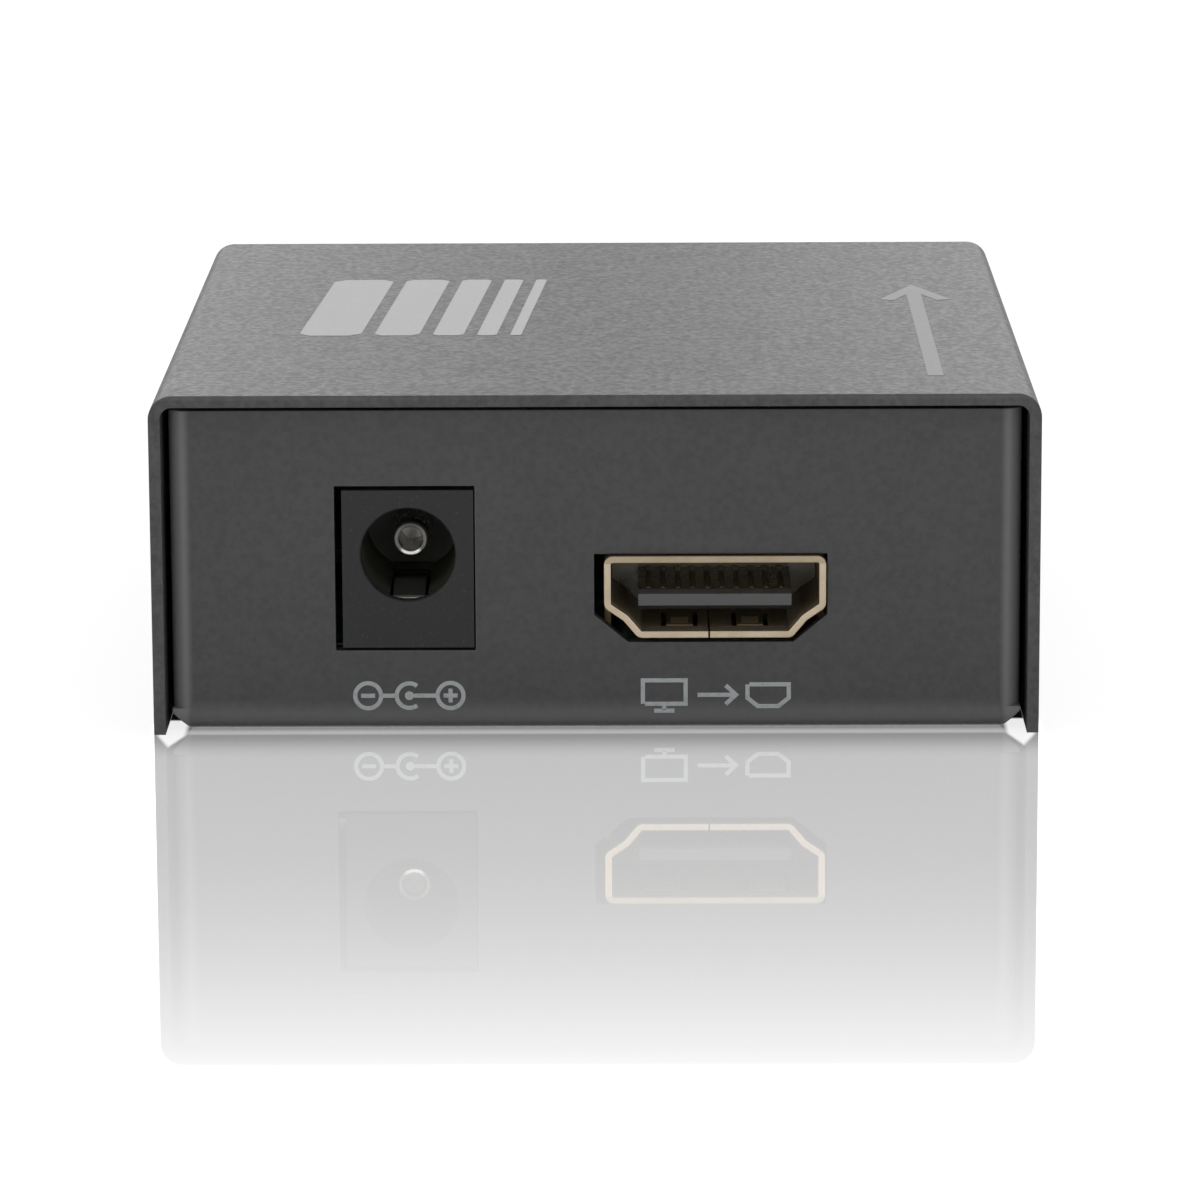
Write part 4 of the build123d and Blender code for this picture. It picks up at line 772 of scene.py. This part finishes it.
# Next to the foot and under the lip the mirror is made stronger, which darkens the floor there: partly the case's image
# and partly a painted contact shadow.
foot_shadow_gain = (-38.0 * MM, foot_y, 0.0, 0.23)
foot_loss = (-31.1 * MM, -30.7 * MM, 0.0, 0.14)
lip_shadow_gain = (-30.5 * MM, -29.2 * MM, 0.0, 0.20)
lip_end = (-27.5 * MM, -27.0 * MM, 1.0, 0.0)
# Where the image ends at the case's sides, and the pale wedge in it that opens from each lower corner of the panel
side_end = (30.1 * MM, 30.4 * MM, 1.0, 0.0)
wedge_lean = 0.30
wedge_side = (0.7 * MM, 1.1 * MM, 0.06, 1.0)
# Where the floor's white is taken away under the case, a painted shadow
painted_shadow_depth = (26.7 * MM, 27.3 * MM, 1.0, 0.0)
painted_shadow_width = (29.9 * MM, 30.1 * MM, 1.0, 0.0)
# White of the bare floor to the camera, which rises with the mirror's strength, so that the image stays pale
bare_white, bare_rise = 0.86, 0.90
# The floor's own colour to the camera and to all other rays
seen_matt, other_matt = 0.18, 0.96
# Other rays shorter than this start on an underside that rests on the floor
touch = 0.3 * MM


def white_floor():
    """Glossy white studio floor: its mirror image of the object fades out towards the camera, and a shadow is painted
    under the case. Seen from below it is clear, and it lets light reach the underside that rests on it."""
    made, tree, surface = bare_material("studio_floor")
    x, y, _ = tree.axes(tree.node("ShaderNodeTexCoord").outputs["Object"])
    outward = tree.math("ABSOLUTE", x)
    fade = tree.math("POWER", tree.spread(y, *image_fade, "LINEAR"), image_fade_power)
    shine = tree.math("MULTIPLY", tree.math("SUBTRACT", 1.0, fade), image_strength)
    shine = tree.math("ADD", shine, tree.spread(y, *foot_shadow_gain))
    shine = tree.math("SUBTRACT", shine, tree.spread(y, *foot_loss))
    shine = tree.math("ADD", shine, tree.spread(y, *lip_shadow_gain))
    from_corner = tree.math("ABSOLUTE", tree.math("SUBTRACT", outward, panel_half))
    lean = tree.math("MULTIPLY", tree.math("MAXIMUM", tree.math("SUBTRACT", foot_y, y), 0.0), wedge_lean)
    shine = tree.math("MULTIPLY", shine, tree.spread(tree.math("ADD", from_corner, lean), *wedge_side))
    shine = tree.math("MULTIPLY", shine, tree.spread(y, *lip_end, "LINEAR"))
    shine = tree.math("MULTIPLY", shine, tree.spread(outward, *side_end))
    # Under the case the floor's white is taken away: a painted shadow.
    under = tree.math("MULTIPLY", tree.spread(tree.math("ABSOLUTE", y), *painted_shadow_depth), tree.spread(outward, *painted_shadow_width))
    white = tree.math("ADD", tree.math("MULTIPLY", tree.math("MULTIPLY", shine, shine), bare_rise), bare_white)
    white = tree.math("MULTIPLY", white, tree.math("SUBTRACT", 1.0, under))

    matt = tree.node("ShaderNodeBsdfDiffuse", {"Color": grey(seen_matt)})
    lit = tree.node("ShaderNodeEmission", {"Color": grey(1.0), "Strength": white})
    bare = tree.node("ShaderNodeAddShader", {0: matt.outputs[0], 1: lit.outputs[0]})
    mirror = tree.node("ShaderNodeBsdfGlossy", {"Color": grey(1.0), "Roughness": 0.02})
    shown = tree.node("ShaderNodeMixShader", {0: shine, 1: bare.outputs[0], 2: mirror.outputs[0]})
    plain = tree.node("ShaderNodeBsdfDiffuse", {"Color": grey(other_matt)})
    rays = tree.node("ShaderNodeLightPath").outputs
    looked_at = tree.math("MAXIMUM", rays["Is Camera Ray"], rays["Is Transmission Ray"])
    whole = tree.node("ShaderNodeMixShader", {0: looked_at, 1: plain.outputs[0], 2: shown.outputs[0]})
    close = tree.math("LESS_THAN", rays["Ray Length"], touch)
    resting = tree.math("MULTIPLY", close, tree.math("SUBTRACT", 1.0, looked_at))
    clear = tree.math("MAXIMUM", tree.node("ShaderNodeNewGeometry").outputs["Backfacing"], resting)
    below = tree.node("ShaderNodeBsdfTransparent")
    final = tree.node("ShaderNodeMixShader", {0: clear, 1: whole.outputs[0], 2: below.outputs[0]})
    tree.feed(surface, final.outputs[0])
    return made


floor_half = 3.0
floor_z = -0.02 * MM
sheet_of(
    "floor",
    [(x * floor_half, y * floor_half, floor_z) for x, y in ((-1, -1), (1, -1), (1, 1), (-1, 1))],
    white_floor(),
)


def studio_world():
    """White background, and an even studio light that is a little stronger from above."""
    world = bpy.data.worlds.new("studio")
    scene.world = world
    world.use_nodes = True
    world.node_tree.nodes.clear()
    tree = Tree(world.node_tree)
    rays = tree.node("ShaderNodeLightPath").outputs
    up = tree.axes(tree.node("ShaderNodeTexCoord").outputs["Generated"])[2]
    strength = tree.spread(up, -0.2, 0.9, 0.66, 0.98, "LINEAR")
    soft = tree.node("ShaderNodeBackground", {"Color": grey(1.0), "Strength": strength})
    white = tree.node("ShaderNodeBackground", {"Color": grey(1.0), "Strength": 1.0})
    seen = tree.math("MAXIMUM", rays["Is Camera Ray"], rays["Is Glossy Ray"])
    seen = tree.math("MAXIMUM", seen, rays["Is Transmission Ray"])
    both = tree.node("ShaderNodeMixShader", {0: seen, 1: soft.outputs[0], 2: white.outputs[0]})
    tree.feed(tree.node("ShaderNodeOutputWorld").inputs["Surface"], both.outputs[0])


studio_world()


def dim_card():
    """The dim side of the studio behind the camera, which metal and gloss on the front see."""
    made, tree, surface = bare_material("room_card")
    dim = tree.node("ShaderNodeEmission", {"Color": grey(1.0), "Strength": 0.50})
    tree.feed(surface, dim.outputs[0])
    return made


card_half, card_y, card_foot, card_head = 1.6, -1.4, 0.05, 1.5
card = sheet_of(
    "room_card",
    [
        (-card_half, card_y, card_foot),
        (card_half, card_y, card_foot),
        (card_half, card_y, card_head),
        (-card_half, card_y, card_head),
    ],
    dim_card(),
)
card.visible_camera = False


def soft_lamp(name, energy, size, place, aim):
    """A square soft box of that power at that place, turned to look at aim."""
    data = bpy.data.lights.new(name, "AREA")
    data.energy = energy
    data.size = size
    made = bpy.data.objects.new(name, data)
    made.visible_camera = False
    scene.collection.objects.link(made)
    along = np.array(aim) - np.array(place)
    made.location = place
    flat = math.hypot(along[0], along[1])
    made.rotation_euler = (math.atan2(flat, -along[2]), 0.0, math.atan2(along[1], along[0]) - math.pi / 2)


case_middle = (0.0, 0.0, 0.010)
panel_middle = (0.0, -0.03, 0.012)
soft_lamp("overhead_box", 2.0, 0.9, (0.10, 0.35, 1.0), case_middle)
soft_lamp("back_box", 1.2, 0.8, (0.0, 0.95, 0.42), case_middle)
soft_lamp("left_box", 0.43, 0.22, (-0.26, -0.66, 0.12), panel_middle)
soft_lamp("right_box", 0.43, 0.22, (0.26, -0.66, 0.12), panel_middle)
